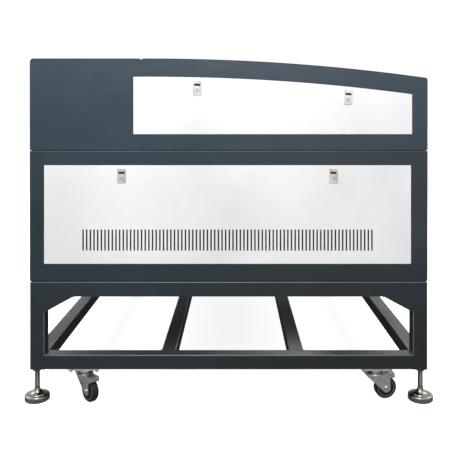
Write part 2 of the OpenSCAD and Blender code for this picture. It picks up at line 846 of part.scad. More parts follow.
module hood_front() color("#56636e") {
    x = half_w - flange;
    top = lip_z - door_gap;
    back = -half_d + skin + door_gap;
    pocket = [window_x - pull_w, window_x + pull_w];
    pocket_z = [top - pull_h, top + lip_h / 2];
    difference() {
        union() {
            block([-x, -half_d, hood_z0], [x, -half_d + sheet, top]);
            block([-x, -half_d, hood_z0], [x, -half_d + flange, hood_z0 + sheet]);
            block([-x, -half_d, top - sheet], [x, back + sheet, top]);
            block([-x, back, top - sheet], [x, back + sheet, pocket_z[1]]);
            block([pocket[0] - sheet, -half_d, pocket_z[0] - sheet],
                [pocket[1] + sheet, back + pull_d + sheet, top]);
            block([pocket[0] - sheet, back, top - sheet],
                [pocket[1] + sheet, back + pull_d + sheet, pocket_z[1] + sheet]);
        }
        block([pocket[0], -half_d - 1, pocket_z[0]], [pocket[1], back + pull_d, top + eps]);
        block([pocket[0], back - 1, top - sheet], [pocket[1], back + pull_d, pocket_z[1]]);
    }
}

module hood_rear() color("#56636e") {
    x = half_w - flange;
    block([-x, half_d - sheet, hood_z0], [x, half_d, rear_split]);
    block([-x, half_d - flange, hood_z0], [x, half_d, hood_z0 + sheet]);
    block([-x, half_d - flange, rear_split - sheet], [x, half_d, rear_split]);
    barrels(-x, x, cover_axis_y, cover_axis_z, hinge_r, false, 4);
    barrel_roots(-x, x, [half_d, cover_axis_z - 3 * hinge_r], [half_d + 3, cover_axis_z], false, 4);
}

module hinge_beam() color("#59646b") {
    x0 = -half_w + sheet;
    across(x0, deck_x - x0) difference() {
        rect(beam_box);
        rect(beam_box, -sheet);
    }
    barrels(x0, deck_x, hinge_y, hinge_z, hinge_r, false, 4);
    barrel_roots(x0, deck_x, [hinge_y - 2, beam_box[3]], [hinge_y + 2, hinge_z], false, 4);
}

// Places children on the deck's slope, with +Z square to it
module on_slope(x, y) {
    translate([x, y, top_at(y)]) rotate([tilt_at(y), 0, 0]) children();
}

module control_deck() color("#56636e") difference() {
    union() {
        across(deck_x, deck_w) intersection() {
            skin_band(skin);
            rect([-half_d - 1, front_split + cap_gap, hinge_y + hinge_r - door_gap, hood_top + 1]);
        }
        across(deck_x, deck_w - sheet) intersection() {
            skin_band(skin);
            rect([-half_d - 1, lip_z, 0, front_split + 1]);
        }
        across(deck_x, sheet) intersection() {
            under_slope(skin);
            rect([-half_d + skin + door_gap + sheet, hood_z0 + sheet,
                strut_base[0] + 30, hood_top - skin - 2]);
        }
        across(deck_x, sheet) intersection() {
            under_slope(skin / 2);
            rect([-half_d + 20, front_split, hinge_y, hood_top]);
        }
        on_slope(stop_x, stop_y) translate([0, 0, -skin]) cylinder(d = stop_d + 6, h = skin + 8);
        on_slope(key_x, key_y) translate([0, 0, -skin]) cylinder(d = key_d + 8, h = skin + 4);
        strut_pin(strut_x[1] - strut_d / 2, deck_x + eps, strut_base);
    }
    on_slope(deck_mid, panel_y) cube([panel_w - 14, panel_l - 14, 40], center = true);
    on_slope(stop_x, stop_y) translate([0, 0, -20]) cylinder(d = stop_stem_d + 2 * fit, h = 40);
    on_slope(key_x, key_y) translate([0, 0, -20]) cylinder(d = key_d + 2 * fit, h = 40);
}

// ---- lid and covers ----

module lid() color("#5b6873") difference() {
    x0 = -half_w + sheet + door_gap;
    union() {
        across(-half_w, lid_end_x + half_w) intersection() {
            skin_band(skin);
            rect([-half_d - 1, front_split + cap_gap, hinge_y - hinge_r - 1, hood_top + 1]);
        }
        across(x0, lid_end_x - x0) intersection() {
            skin_band(skin);
            rect([-half_d - 1, lip_z, 0, front_split + 1]);
        }
        for (x = rib_x) across(x, sheet) intersection() {
            difference() {
                under_slope(skin);
                under_slope(skin + rib_h);
            }
            rect([-half_d + 3 * flange / 2, hood_z0, rib_rear, hood_top]);
        }
        for (i = [0, 1]) across(rib_x[i], sheet) intersection() {
            under_slope(skin);
            union() {
                translate([strut_stud[0], strut_stud[1]]) circle(10);
                translate([strut_stud[0] - 10, strut_stud[1]]) square([20, 2 * rib_h]);
            }
        }
        strut_pin(strut_x[0] + 4, rib_x[0] + eps, strut_stud);
        strut_pin(rib_x[1] + sheet - eps, strut_x[1] - 4, strut_stud);
        barrels(-half_w + sheet, deck_x, hinge_y, hinge_z, hinge_r, true, 4);
        barrel_roots(-half_w + sheet, deck_x, [hinge_y - 34, hinge_z + 0.3],
            [hinge_y - hinge_r / 2 - 0.5, hood_top - skin], true, 4);
    }
    block([window_x - window_w / 2, -half_d + window_front, hood_z0],
        [window_x + window_w / 2, -half_d + window_front + window_d, hood_top + 1]);
}

module lid_window() color("#5a3a1c", 0.6) {
    lap = 15;
    across(window_x - window_w / 2 - lap, window_w + 2 * lap) intersection() {
        difference() {
            under_slope(skin);
            under_slope(skin + window_t);
        }
        rect([-half_d + window_front - lap, hood_z0,
            -half_d + window_front + window_d + lap, hood_top]);
    }
}

module tube_cover() color("#5b6873") {
    x = half_w - flange;
    across(-half_w, machine_w) intersection() {
        skin_band(skin);
        rect([hinge_y + hinge_r + 1, rear_split + cap_gap, half_d + 1, hood_top + 1]);
    }
    barrels(-x, x, cover_axis_y, cover_axis_z, hinge_r, true, 4);
    barrel_roots(-x, x, [half_d - skin, cover_axis_z + cap_gap],
        [half_d + 3, cover_axis_z + hinge_r - 1], true, 4);
}

// Places children along a gas strut, with +Z towards the lid
module along_strut(i) {
    translate([strut_x[i], strut_base[0], strut_base[1]]) rotate([strut_tilt - 90, 0, 0]) children();
}

module strut_cylinder(i) color("#202224") along_strut(i) {
    bore = strut_rod_d + 2 * fit;
    body_l = strut_cyl_l - strut_neck_l;
    rotate([0, 90, 0]) difference() {
        translate([0, 0, -eye_t / 2]) cylinder(d = eye_d, h = eye_t);
        translate([0, 0, -eye_t]) cylinder(d = stud_d + 2 * fit, h = 2 * eye_t);
    }
    translate([0, 0, eye_d / 2 - 2]) cylinder(d = strut_neck_d, h = strut_neck_l - eye_d / 2 + 4);
    translate([0, 0, strut_neck_l]) difference() {
        cylinder(d = strut_d, h = body_l);
        translate([0, 0, strut_base_t])
            cylinder(d = strut_d - 4, h = body_l - strut_base_t - strut_guide_l);
        translate([0, 0, 2 * strut_base_t]) cylinder(d = bore, h = strut_cyl_l);
    }
}

module strut_rod(i) color("silver") along_strut(i) {
    start = strut_neck_l + 3 * strut_base_t;
    translate([0, 0, start]) cylinder(d = strut_rod_d, h = strut_len - stud_d / 2 - start);
    translate([-eye_t / 2, 0, strut_len]) rotate([0, 90, 0]) cylinder(d = eye_d, h = eye_t);
}
module left_strut_cylinder() strut_cylinder(0);
module left_strut_rod() strut_rod(0);
module right_strut_cylinder() strut_cylinder(1);
module right_strut_rod() strut_rod(1);

module upper_side_door() color("white") {
    across(-half_w, sheet) difference() {
        upper_door_outline();
        latch_holes(upper_latches);
    }
    across(-half_w, door_edge) difference() {
        upper_door_outline();
        upper_door_outline(-sheet);
    }
    end_pivots(-1, upper_door, true);
}

// ---- latches ----

// Places children at a latch, turned as it is, with the plate's outer face at X = 0
module at_latch(l) {
    translate([-half_w - latch_t, l[0], l[1]]) rotate([l[2], 0, 0]) children();
}

// A round bar on a paddle's axis, of half length w
module paddle_axle(d, w) {
    translate([paddle_t / 2, -w, paddle_z + paddle_t / 2]) rotate([-90, 0, 0])
        cylinder(d = d, h = 2 * w);
}

module latch_plates(latches) color("#c9c8bf") for (l = latches) at_latch(l) difference() {
    top_y = latch_w / 2 - latch_top_r;
    low_y = latch_w / 2 - latch_foot_r;
    across(0, latch_t) difference() {
        polygon(concat(
            arc([top_y, latch_h / 2 - latch_top_r], latch_top_r, 0, 90, 4),
            arc([-top_y, latch_h / 2 - latch_top_r], latch_top_r, 90, 180, 4),
            arc([-low_y, latch_foot_r - latch_h / 2], latch_foot_r, 180, 270, 6),
            arc([low_y, latch_foot_r - latch_h / 2], latch_foot_r, 270, 360, 6)
        ));
        translate([-latch_hole_w / 2, latch_h / 2 - latch_hole_top - latch_hole_h])
            square([latch_hole_w, latch_hole_h]);
    }
    paddle_axle(paddle_pin_d + 2 * fit, latch_hole_w / 2 + paddle_pin_l);
}
module upper_latch_plates() latch_plates(upper_latches);
module lower_latch_plates() latch_plates(lower_latches);

module paddle(l) color("#deddd6") at_latch(l) {
    w = latch_hole_w / 2 - paddle_gap;
    block([0, -w, paddle_z + paddle_t / 2], [paddle_t, w, paddle_z + paddle_h]);
    paddle_axle(paddle_t, w);
    paddle_axle(paddle_pin_d, w + paddle_pin_l);
    translate([-1, 0, paddle_z + paddle_h / 2]) rotate([0, 90, 0]) cylinder(d = 16, h = 1.5);
}
module paddle_upper_front() paddle(upper_latches[0]);
module paddle_upper_rear() paddle(upper_latches[1]);
module paddle_lower_front() paddle(lower_latches[0]);
module paddle_lower_rear() paddle(lower_latches[1]);

// ---- inside ----

module chamber_walls() color("#7a848a") for (x = rail_x) {
    block([x - sheet / 2, rail_y[0], cabinet_z0 + sheet],
        [x + sheet / 2, rail_y[1], rail_z - wall_box_w + sheet / 2]);
    across(x - wall_box_w / 2, wall_box_w) difference() {
        rect([rail_y[0], rail_z - wall_box_w, rail_y[1], rail_z]);
        rect([rail_y[0] + sheet, rail_z - wall_box_w + sheet, rail_y[1] - sheet, rail_z - sheet]);
    }
    block([x - rail_w / 2, rail_y[0], rail_z],
        [x + rail_w / 2, shaft_y - rail_w, rail_z + rail_h]);
    difference() {
        block([x - 10, shaft_y - rail_w + 2, rail_z], [x + 10, shaft_y + rail_w - 2, shaft_z + 16]);
        translate([x - 11, shaft_y, shaft_z]) rotate([0, 90, 0])
            cylinder(d = shaft_d + 2 * fit, h = 22);
    }
}

module gantry_beam() color("#b4b8ba") {
    w = rail_w / 2 + slide_gap;
    front = gantry_y - gantry_d / 2;
    rear = gantry_y + gantry_d / 2;
    // the beam, closed at both ends
    difference() {
        block([gantry_x[0], front, gantry_z0], [gantry_x[1], rear, gantry_z0 + gantry_h]);
        block([gantry_x[0] + gantry_wall, front + gantry_wall, gantry_z0 + gantry_wall],
            [gantry_x[1] - gantry_wall, rear - gantry_wall, gantry_z0 + gantry_h - gantry_wall]);
    }
    block([gantry_x[0], front - guide_t, guide_z[0]],
        [gantry_x[1], front + gantry_wall / 2, guide_z[1]]);
    // the bearing blocks astride the rails
    for (x = rail_x) difference() {
        block([x - bearing_w / 2, gantry_y - bearing_l / 2, rail_z + rail_h / 3],
            [x + bearing_w / 2, gantry_y + bearing_l / 2, gantry_z0 + gantry_wall / 2]);
        block([x - w, gantry_y - bearing_l, rail_z],
            [x + w, gantry_y + bearing_l, rail_z + rail_h + slide_gap]);
    }
    // bracket of the second mirror, at the left end
    block([gantry_x[0] - mirror_out - 9, nozzle_y - 20, gantry_z0 + 10],
        [gantry_x[0] + gantry_wall / 2, gantry_y + 10, gantry_z0 + 14]);
    mirror_mount(gantry_x[0] - mirror_out, nozzle_y, gantry_z0 + 14);
}

// A mirror on its adjusting plate, turned to send the beam round a corner
module mirror_mount(x, y, z) {
    t = mirror_plate[0] / 2;
    w = mirror_plate[1] / 2;
    translate([x, y, 0]) rotate(45) {
        block([-t, -w, z - 1], [t, w, beam_z + mirror_up]);
        translate([t - 1, 0, beam_z]) rotate([0, 90, 0]) cylinder(d = mirror_d, h = 7);
    }
}

module carriage() color("#b4b8ba") {
    y = gantry_y - gantry_d / 2 - guide_t - slide_gap;
    w = carriage_w / 2;
    holder = lens_holder / 2;
    difference() {
        union() {
            block([carriage_x - w, y - carriage_t, gantry_z0 + 1],
                [carriage_x + w, y, gantry_z0 + gantry_h + 14]);
            for (z = [[guide_z[0] - 9, guide_z[0] - slide_gap], [guide_z[1] + slide_gap, guide_z[1] + 9]])
                block([carriage_x - w, y - 1, z[0]], [carriage_x + w, y + guide_t - 1, z[1]]);
            block([carriage_x - holder, nozzle_y - holder - 2, gantry_z0 - 18],
                [carriage_x + holder, y - carriage_t + 1, gantry_z0 + 22]);
            block([carriage_x - holder, nozzle_y - holder, beam_z - 16],
                [carriage_x + holder, y - carriage_t + 1, beam_z + 22]);
        }
        translate([carriage_x, nozzle_y, gantry_z0 - 30])
            cylinder(d = lens_d + 2 * slide_gap, h = 60);
        translate([carriage_x, nozzle_y, gantry_z0])
            cylinder(d = beam_hole_d, h = beam_z - gantry_z0);
        translate([carriage_x - lens_holder, nozzle_y, beam_z]) rotate([0, 90, 0])
            cylinder(d = beam_hole_d, h = lens_holder);
    }
}

module lens_tube() color("silver") translate([carriage_x, nozzle_y, gantry_z0]) rotate_extrude() {
    r = lens_d / 2;
    polygon([
        [3, -76], [5, -76], [r - 3, -56], [r, -56], [r, 26], [r - 2, 26], [r - 2, -54], [3, -72]
    ]);
}

module cutting_table() color("#8c8f90") {
    a = table_box;
    z0 = table_z - table_rim;
    difference() {
        block([a[0], a[1], z0], [a[2], a[3], table_z]);
        block([a[0] + table_rim, a[1] + table_rim, z0 - 1],
            [a[2] - table_rim, a[3] - table_rim, table_z + 1]);
    }
    pitch = (a[3] - a[1] - 2 * table_rim) / (blade_count + 1);
    for (i = [1:blade_count]) block([a[0] + table_rim, a[1] + table_rim + i * pitch - 1.5, z0 + 5],
        [a[2] - table_rim, a[1] + table_rim + i * pitch + 1.5, table_z - 1]);
    for (x = [a[0], a[2] - table_rim]) for (y = [a[1], a[3] - table_rim])
        block([x, y, cabinet_z0 + sheet], [x + table_rim, y + table_rim, z0]);
}

module laser_tube() color("#cfe3ea") translate([laser_x, laser_y, beam_z]) rotate([0, 90, 0])
    rotate_extrude() {
        r = tube_d / 2;
        neck = r * 0.45;
        tip = glass_tip[0] / 2;
        ends = [
            [0, 0], [tip, 0], [tip, glass_tip[1]], [neck, glass_tip[1] + 4],
            [neck, glass_neck_l], [r, glass_neck_l + 10]
        ];
        polygon(concat(ends, [for (i = [1:len(ends)]) let (p = ends[len(ends) - i]) [p[0], laser_l - p[1]]]));
    }

module tube_mounts() color("#59646b") {
    r = tube_d / 2 + fit;
    shelf_t = 3;
    block([-half_w + 50, laser_y - r - 20, shelf_z], [laser_x + laser_l, half_d - sheet, shelf_z + shelf_t]);
    for (x = [laser_x + cradle_in, laser_x + laser_l - cradle_in])
        translate([x - cradle_l / 2, laser_y, 0]) difference() {
            union() {
                block([0, -r - cradle_wall, shelf_z + 1], [cradle_l, r + cradle_wall, beam_z]);
                translate([0, 0, beam_z]) rotate([0, 90, 0])
                    cylinder(r = r + cradle_wall / 3, h = cradle_l);
            }
            translate([-1, 0, beam_z]) rotate([0, 90, 0]) cylinder(r = r, h = cradle_l + 2);
        }
    mirror_mount(gantry_x[0] - mirror_out, laser_y, shelf_z + shelf_t);
}

module drive_shaft() color("silver") {
    x0 = rail_x[0] - 20;
    translate([x0, shaft_y, shaft_z]) rotate([0, 90, 0]) cylinder(d = shaft_d, h = rail_x[1] + 20 - x0);
    for (x = pulley_x) translate([x - belt_w / 2 - 2, shaft_y, shaft_z]) rotate([0, 90, 0]) {
        cylinder(d = pulley_d, h = belt_w + 4);
        for (z = [-1, belt_w + 4]) translate([0, 0, z]) cylinder(d = pulley_d + 5, h = 1);
    }
}

module belt_drive() color("#26282a") {
    r = pulley_d / 2 + 2 * fit;
    for (i = [0, 1]) {
        x = pulley_x[i];
        inner_x = i == 0 ? rail_x[0] + wall_box_w / 2 : rail_x[1] - wall_box_w / 2;
        across(x - belt_w / 2, belt_w) difference() {
            belt_loop(r + belt_t);
            belt_loop(r);
        }
        translate([x - belt_w / 2, idler_y, shaft_z]) rotate([0, 90, 0])
            cylinder(r = r, h = belt_w);
        block([min(inner_x, x), idler_y - 5, shaft_z - 5],
            [max(inner_x, x), idler_y + 5, shaft_z + 5]);
        across(min(inner_x, inner_x + (i == 0 ? 4 : -4)), 4)
            rect([idler_y - 15, rail_z - wall_box_w + 4, idler_y + 15, shaft_z + 8]);
    }
}
module belt_loop(r) {
    for (y = [idler_y, shaft_y]) translate([y, shaft_z]) circle(r);
    rect([idler_y, shaft_z - r, shaft_y, shaft_z + r]);
}

module electrics() color("#6b7075") translate([bay_x, bay_y, cabinet_z0 + sheet]) {
    for (i = [0:driver_count - 1]) translate([i * (driver[0] + driver_gap), 0, 0]) cube(driver);
    translate([0, driver[1] + bay_gap, 0]) cube(controller);
    translate([0, driver[1] + controller[1] + 3 * bay_gap, 0]) cube(supply);
}

// ---- controls ----

module control_panel() color("#25282b") on_slope(deck_mid, panel_y) {
    difference() {
        translate([-panel_w / 2, -panel_l / 2, 0]) cube([panel_w, panel_l, 5]);
        translate([-panel_w / 2 + 14, -panel_l / 2 + 40, 4]) cube([panel_w * 0.5, panel_l - 54, 2]);
    }
    translate([-panel_w / 2 + 8, -panel_l / 2 + 8, -22]) cube([panel_w - 16, panel_l - 16, 22]);
}

module e_stop_button() color("#c8201c") on_slope(stop_x, stop_y) {
    translate([0, 0, -18]) cylinder(d = stop_stem_d, h = 34);
    rotate_extrude() polygon(concat(
        [[0, 14], [stop_d / 2 - 2, 14], [stop_d / 2, 16]],
        arc([stop_d / 2 - 8, 20], 8, 0, 80, 5), [[0, 29]]
    ));
}

module key_switch() color("silver") on_slope(key_x, key_y) {
    translate([0, 0, -14]) cylinder(d = key_d, h = 19);
    translate([-1.2, -5, 5]) cube([2.4, 10, 10]);
    translate([-1.2, 0, 24]) rotate([0, 90, 0]) cylinder(d = 24, h = 2.4);
}

stand_legs();
stand_end_rails();
stand_long_rails();
foot_front_left();
foot_front_right();
foot_rear_left();
foot_rear_right();
foot_nuts();
caster_plates();
fork_front_left();
fork_front_right();
fork_rear_left();
fork_rear_right();
wheel_front_left();
wheel_front_right();
wheel_rear_left();
wheel_rear_right();
seam_seals();
cabinet_end_left();
cabinet_end_right();
cabinet_front();
cabinet_rear();
cabinet_floor();
exhaust_spigots();
hood_side_left();
hood_side_right();
hood_front();
hood_rear();
hinge_beam();
control_deck();
lid();
lid_window();
tube_cover();
left_strut_cylinder();
left_strut_rod();
right_strut_cylinder();
right_strut_rod();
upper_side_door();
lower_side_door();
right_side_door();
front_door();
upper_latch_plates();
lower_latch_plates();
paddle_upper_front();
paddle_upper_rear();
paddle_lower_front();
paddle_lower_rear();
chamber_walls();
gantry_beam();
carriage();
lens_tube();
cutting_table();
laser_tube();
tube_mounts();
drive_shaft();
belt_drive();
electrics();
control_panel();
e_stop_button();
key_switch();
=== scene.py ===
# %% [markdown]
# # Dressing a laser cutting machine
#
# The machine's construction is already there: sheets, tubes, doors, wheels and the moving gantry,
# each in its own node and at its real size. This notebook gives it the looks of the real one:
# powder coat, zinc, rubber and glass, rounded folds, screws, seals and the small parts that catch
# the light. Everything is in metres, +Z is up, the operator stands at -Y and the floor is at Z = 0.

# %% Load the frame
import math
import json

import bmesh
import bpy
from mathutils import Matrix, Vector

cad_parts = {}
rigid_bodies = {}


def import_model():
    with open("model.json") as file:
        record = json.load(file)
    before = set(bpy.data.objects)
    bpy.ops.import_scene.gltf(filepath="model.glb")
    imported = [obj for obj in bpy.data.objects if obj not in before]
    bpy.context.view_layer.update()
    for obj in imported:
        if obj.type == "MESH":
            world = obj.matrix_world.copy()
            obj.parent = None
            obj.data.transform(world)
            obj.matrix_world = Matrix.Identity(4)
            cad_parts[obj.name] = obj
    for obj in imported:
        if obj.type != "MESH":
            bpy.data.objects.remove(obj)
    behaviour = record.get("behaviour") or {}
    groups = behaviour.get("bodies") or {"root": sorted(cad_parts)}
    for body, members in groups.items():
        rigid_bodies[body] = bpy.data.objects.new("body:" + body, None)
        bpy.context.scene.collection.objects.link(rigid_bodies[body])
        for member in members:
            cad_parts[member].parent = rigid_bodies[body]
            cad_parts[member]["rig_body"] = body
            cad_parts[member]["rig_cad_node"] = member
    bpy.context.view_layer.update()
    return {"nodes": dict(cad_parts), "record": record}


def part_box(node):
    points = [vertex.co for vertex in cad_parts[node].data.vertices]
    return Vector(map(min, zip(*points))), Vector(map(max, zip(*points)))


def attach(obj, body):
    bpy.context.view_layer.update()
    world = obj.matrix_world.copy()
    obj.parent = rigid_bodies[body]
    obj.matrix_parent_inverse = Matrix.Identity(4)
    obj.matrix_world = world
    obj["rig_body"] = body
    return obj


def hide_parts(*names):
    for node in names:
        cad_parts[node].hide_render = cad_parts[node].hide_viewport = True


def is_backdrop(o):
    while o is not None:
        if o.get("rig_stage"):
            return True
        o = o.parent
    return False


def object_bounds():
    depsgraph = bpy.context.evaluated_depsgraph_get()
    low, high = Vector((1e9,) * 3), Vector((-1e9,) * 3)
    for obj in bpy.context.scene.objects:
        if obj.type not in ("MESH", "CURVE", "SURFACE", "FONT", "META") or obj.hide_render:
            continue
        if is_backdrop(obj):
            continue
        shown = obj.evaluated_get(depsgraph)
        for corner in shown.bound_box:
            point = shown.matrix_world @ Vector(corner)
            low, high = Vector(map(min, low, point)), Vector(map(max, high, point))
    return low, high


for spare in list(bpy.data.objects):
    bpy.data.objects.remove(spare)
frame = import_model()
nodes = frame["nodes"]
scene = bpy.context.scene

# %% [markdown]
# ## Camera
#
# The end of the machine should look square and its uprights upright. A camera that is tilted down
# would make them lean. So the camera stays level, and a shift lens slides the view instead. It
# stands to the left of the machine, a little above the cabinet's seam, and looks along +X.

# %% Camera
end_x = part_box("cabinet_end_left")[0].x
camera_away, camera_y, camera_z = 2.16, -0.025, 0.968
camera_data = bpy.data.cameras.new("camera")
camera_data.lens = 50
camera_data.sensor_width = 36
camera_data.shift_x = -0.0187
camera_data.shift_y = -0.2385
camera = bpy.data.objects.new("camera", camera_data)
camera.location = (end_x - camera_away, camera_y, camera_z)
camera.rotation_euler = (math.radians(90), 0, math.radians(-90))
scene.collection.objects.link(camera)
scene.camera = camera
print("camera at", [round(v, 3) for v in camera.location])

# %% [markdown]
# ## Light and floor
#
# The machine stands in a white studio. More light would whiten the background, and would wash out
# the paint too. So the white that the camera sees comes from the world's colour, and the lamps
# stay plain. Soft lamps above the ends, the front and the rear leave the lower parts a little
# darker, as in a hall with a grey floor.


# %% World
def shader_node(tree, kind, **values):
    """A new node in tree, with the sockets that values names set."""
    node = tree.nodes.new(kind)
    for socket, value in values.items():
        node.inputs[socket].default_value = value
    return node


scene.view_settings.view_transform = "Standard"
world = bpy.data.worlds.new("studio")
scene.world = world
world.use_nodes = True
sky = world.node_tree
sky.nodes.clear()
ambient = shader_node(sky, "ShaderNodeBackground", Color=(0.95, 0.975, 1.0, 1), Strength=0.28)
backdrop = shader_node(sky, "ShaderNodeBackground", Color=(1, 1, 1, 1), Strength=1.0)
rays = shader_node(sky, "ShaderNodeLightPath")
sees_backdrop = rays.outputs["Is Camera Ray"]
for kind in ("Is Transmission Ray", "Is Glossy Ray"):
    either = shader_node(sky, "ShaderNodeMath")
    either.operation = "MAXIMUM"
    sky.links.new(sees_backdrop, either.inputs[0])
    sky.links.new(rays.outputs[kind], either.inputs[1])
    sees_backdrop = either.outputs[0]
choose = shader_node(sky, "ShaderNodeMixShader")
world_out = shader_node(sky, "ShaderNodeOutputWorld")
for source, socket in ((sees_backdrop, choose.inputs[0]), (ambient.outputs[0], choose.inputs[1]),
                       (backdrop.outputs[0], choose.inputs[2]),
                       (choose.outputs[0], world_out.inputs[0])):
    sky.links.new(source, socket)
print("world nodes", len(sky.nodes))


# %% Lamps and floor
def area_lamp(name, place, target, size, power):
    """A soft box at place that faces target; size is its width and height."""
    data = bpy.data.lights.new(name, "AREA")
    data.shape = "RECTANGLE"
    data.size, data.size_y = size
    data.energy = power
    lamp = bpy.data.objects.new(name, data)
    lamp.location = place
    lamp.rotation_euler = (Vector(target) - Vector(place)).to_track_quat("-Z", "Y").to_euler()
    scene.collection.objects.link(lamp)
    return lamp


area_lamp("left", (-2.7, 0.22, 2.85), (-0.93, 0, 0.95), (1.4, 2.4), 94)
area_lamp("top", (0, 0, 4.2), (0, 0, 1.2), (3.4, 2.6), 60)
area_lamp("front", (0.2, -3.6, 2.9), (0, -0.7, 0.9), (3.4, 1.6), 84)
area_lamp("rear", (0.2, 3.6, 2.9), (0, 0.7, 0.9), (3.4, 1.6), 84)
area_lamp("right", (3.2, 0, 2.9), (0.93, 0, 0.9), (1.6, 2.6), 74)

bpy.ops.object.select_all(action="DESELECT")
bpy.ops.mesh.primitive_plane_add(size=120)
floor = bpy.context.active_object
floor.name = "floor"
floor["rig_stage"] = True
print("lamps", len(bpy.data.lights))

# %% [markdown]
# ## Finishes
#
# One flat colour would look like a toy, because no real coat is even. So each finish starts from
# one shader, and noise in object coordinates breaks up its colour, roughness and bump. Powder
# coat has a fine orange peel, zinc has cloudy crystals, and rubber is dull and finely grained.
# Three small classes, each built on the one before, hold what they share.


# %% The shader of a finish
class Shader:
    """A material with one Principled shader, and short calls that feed its sockets."""

    def __init__(self, name, colour, roughness, metallic=0.0):
        self.material = bpy.data.materials.new(name)
        self.material.use_nodes = True
        self.tree = self.material.node_tree
        self.shader = self.tree.nodes["Principled BSDF"]
        self.colour = (*colour, 1)
        self.set("Base Color", self.colour)
        self.set("Roughness", roughness)
        self.set("Metallic", metallic)
        self.where = self.add("ShaderNodeTexCoord")

    def add(self, kind, **settings):
        node = self.tree.nodes.new(kind)
        for key, value in settings.items():
            setattr(node, key, value)
        return node

    def set(self, socket, value):
        self.shader.inputs[socket].default_value = value

    def link(self, a, b):
        self.tree.links.new(a, b)

    def feed(self, socket, source):
        """Leads source into one of the shader's own sockets."""
        self.link(source, self.shader.inputs[socket])


print(Shader.__doc__)


# %% Sums with amounts and colours
class Mixer(Shader):
    """A shader that can scale, multiply and mix."""

    def ramp(self, value, low, high, out_low, out_high):
        """value between low and high becomes out_low to out_high, held outside."""
        remap = self.add("ShaderNodeMapRange")
        for socket, number in zip(("From Min", "From Max", "To Min", "To Max"),
                                  (low, high, out_low, out_high)):
            remap.inputs[socket].default_value = number
        self.link(value, remap.inputs["Value"])
        return remap.outputs["Result"]

    def both(self, a, b):
        """The product of two amounts."""
        product = self.add("ShaderNodeMath", operation="MULTIPLY")
        self.link(a, product.inputs[0])
        self.link(b, product.inputs[1])
        return product.outputs[0]

    def mix_colour(self, amount, a, b):
        """Colour a where amount is 0 and b where it is 1; a and b are colours or sockets."""
        mix = self.add("ShaderNodeMix", data_type="RGBA")
        self.link(amount, mix.inputs["Factor"])
        for socket, value in ((mix.inputs[6], a), (mix.inputs[7], b)):
            if isinstance(value, tuple):
                socket.default_value = value
            else:
                self.link(value, socket)
        return mix.outputs[2]


print(Mixer.__doc__)


# %% Patterns on a finish
class Finish(Mixer):
    """A shader with the patterns that real surfaces show."""

    def noise(self, scale, detail, stretch=(1, 1, 1), lean=0.0):
        """A grey noise pattern; scale is in waves per metre, lean turns it about X in degrees."""
        placed = self.add("ShaderNodeMapping")
        placed.inputs["Scale"].default_value = stretch
        placed.inputs["Rotation"].default_value = (math.radians(lean), 0, 0)
        self.link(self.where.outputs["Object"], placed.inputs["Vector"])
        noise = self.add("ShaderNodeTexNoise")
        noise.inputs["Scale"].default_value = scale
        noise.inputs["Detail"].default_value = detail
        self.link(placed.outputs[0], noise.inputs["Vector"])
        return noise.outputs["Fac"]

    def along(self, axis):
        """The place along one axis, "X", "Y" or "Z", in metres."""
        split = self.add("ShaderNodeSeparateXYZ")
        self.link(self.where.outputs["Object"], split.inputs[0])
        return split.outputs[axis]

    def shade(self, factor):
        """The finish's own colour, made lighter or darker by factor."""
        return tuple(min(1.0, c * factor) for c in self.colour[:3]) + (1,)

    def cloudy(self, pattern, dark, light, low=0.3, high=0.7):
        """Gives the finish its colour, between two shades of its own, by a pattern."""
        amount = self.ramp(pattern, low, high, 0, 1)
        self.feed("Base Color", self.mix_colour(amount, self.shade(dark), self.shade(light)))

    def bump(self, height, depth):
        """Bump of a depth in metres."""
        bump = self.add("ShaderNodeBump")
        bump.inputs["Distance"].default_value = depth
        self.link(height, bump.inputs["Height"])
        self.link(bump.outputs[0], self.shader.inputs["Normal"])


print(Finish.__doc__)


# %% [markdown]
# ### Powder coat
#
# Powder is sprayed on dry and baked. It could be one noisy colour, but on a machine that has been
# used the eye looks for handling marks, wiped streaks, scratches, chips and dust. Each of them is
# a noise of its own that mixes one more colour in, so each can be left out of a cleaner coat.
# Bands along axes mix in painted light and shade: a coat is made lighter where more light falls
# and darker where less does.


# %% Wear, and dust with painted light
def worn_tone(f, tone, wear):
    """Mixes wiped streaks, fine scratches and chipped specks into tone."""
    here = f.ramp(f.noise(3.1, 3), 0.45, 0.62, 0, 1)
    wiped = f.noise(11, 7, (1, 0.22, 1.5), -9)
    tone = f.mix_colour(f.both(f.ramp(wiped, 0.50, 0.72, 0, 0.5 * wear), here), tone, f.shade(1.9))
    scratch = f.noise(420, 2, (1, 0.02, 1), -5)
    tone = f.mix_colour(f.both(f.ramp(scratch, 0.66, 0.72, 0, wear), here), tone, f.shade(2.6))
    chips = f.noise(240, 1)
    some = f.ramp(f.noise(7, 2), 0.52, 0.60, 0, 1)
    bare_metal = (0.30, 0.30, 0.29, 1)
    return f.mix_colour(f.both(f.ramp(chips, 0.775, 0.80, 0, wear), some), tone, bare_metal)


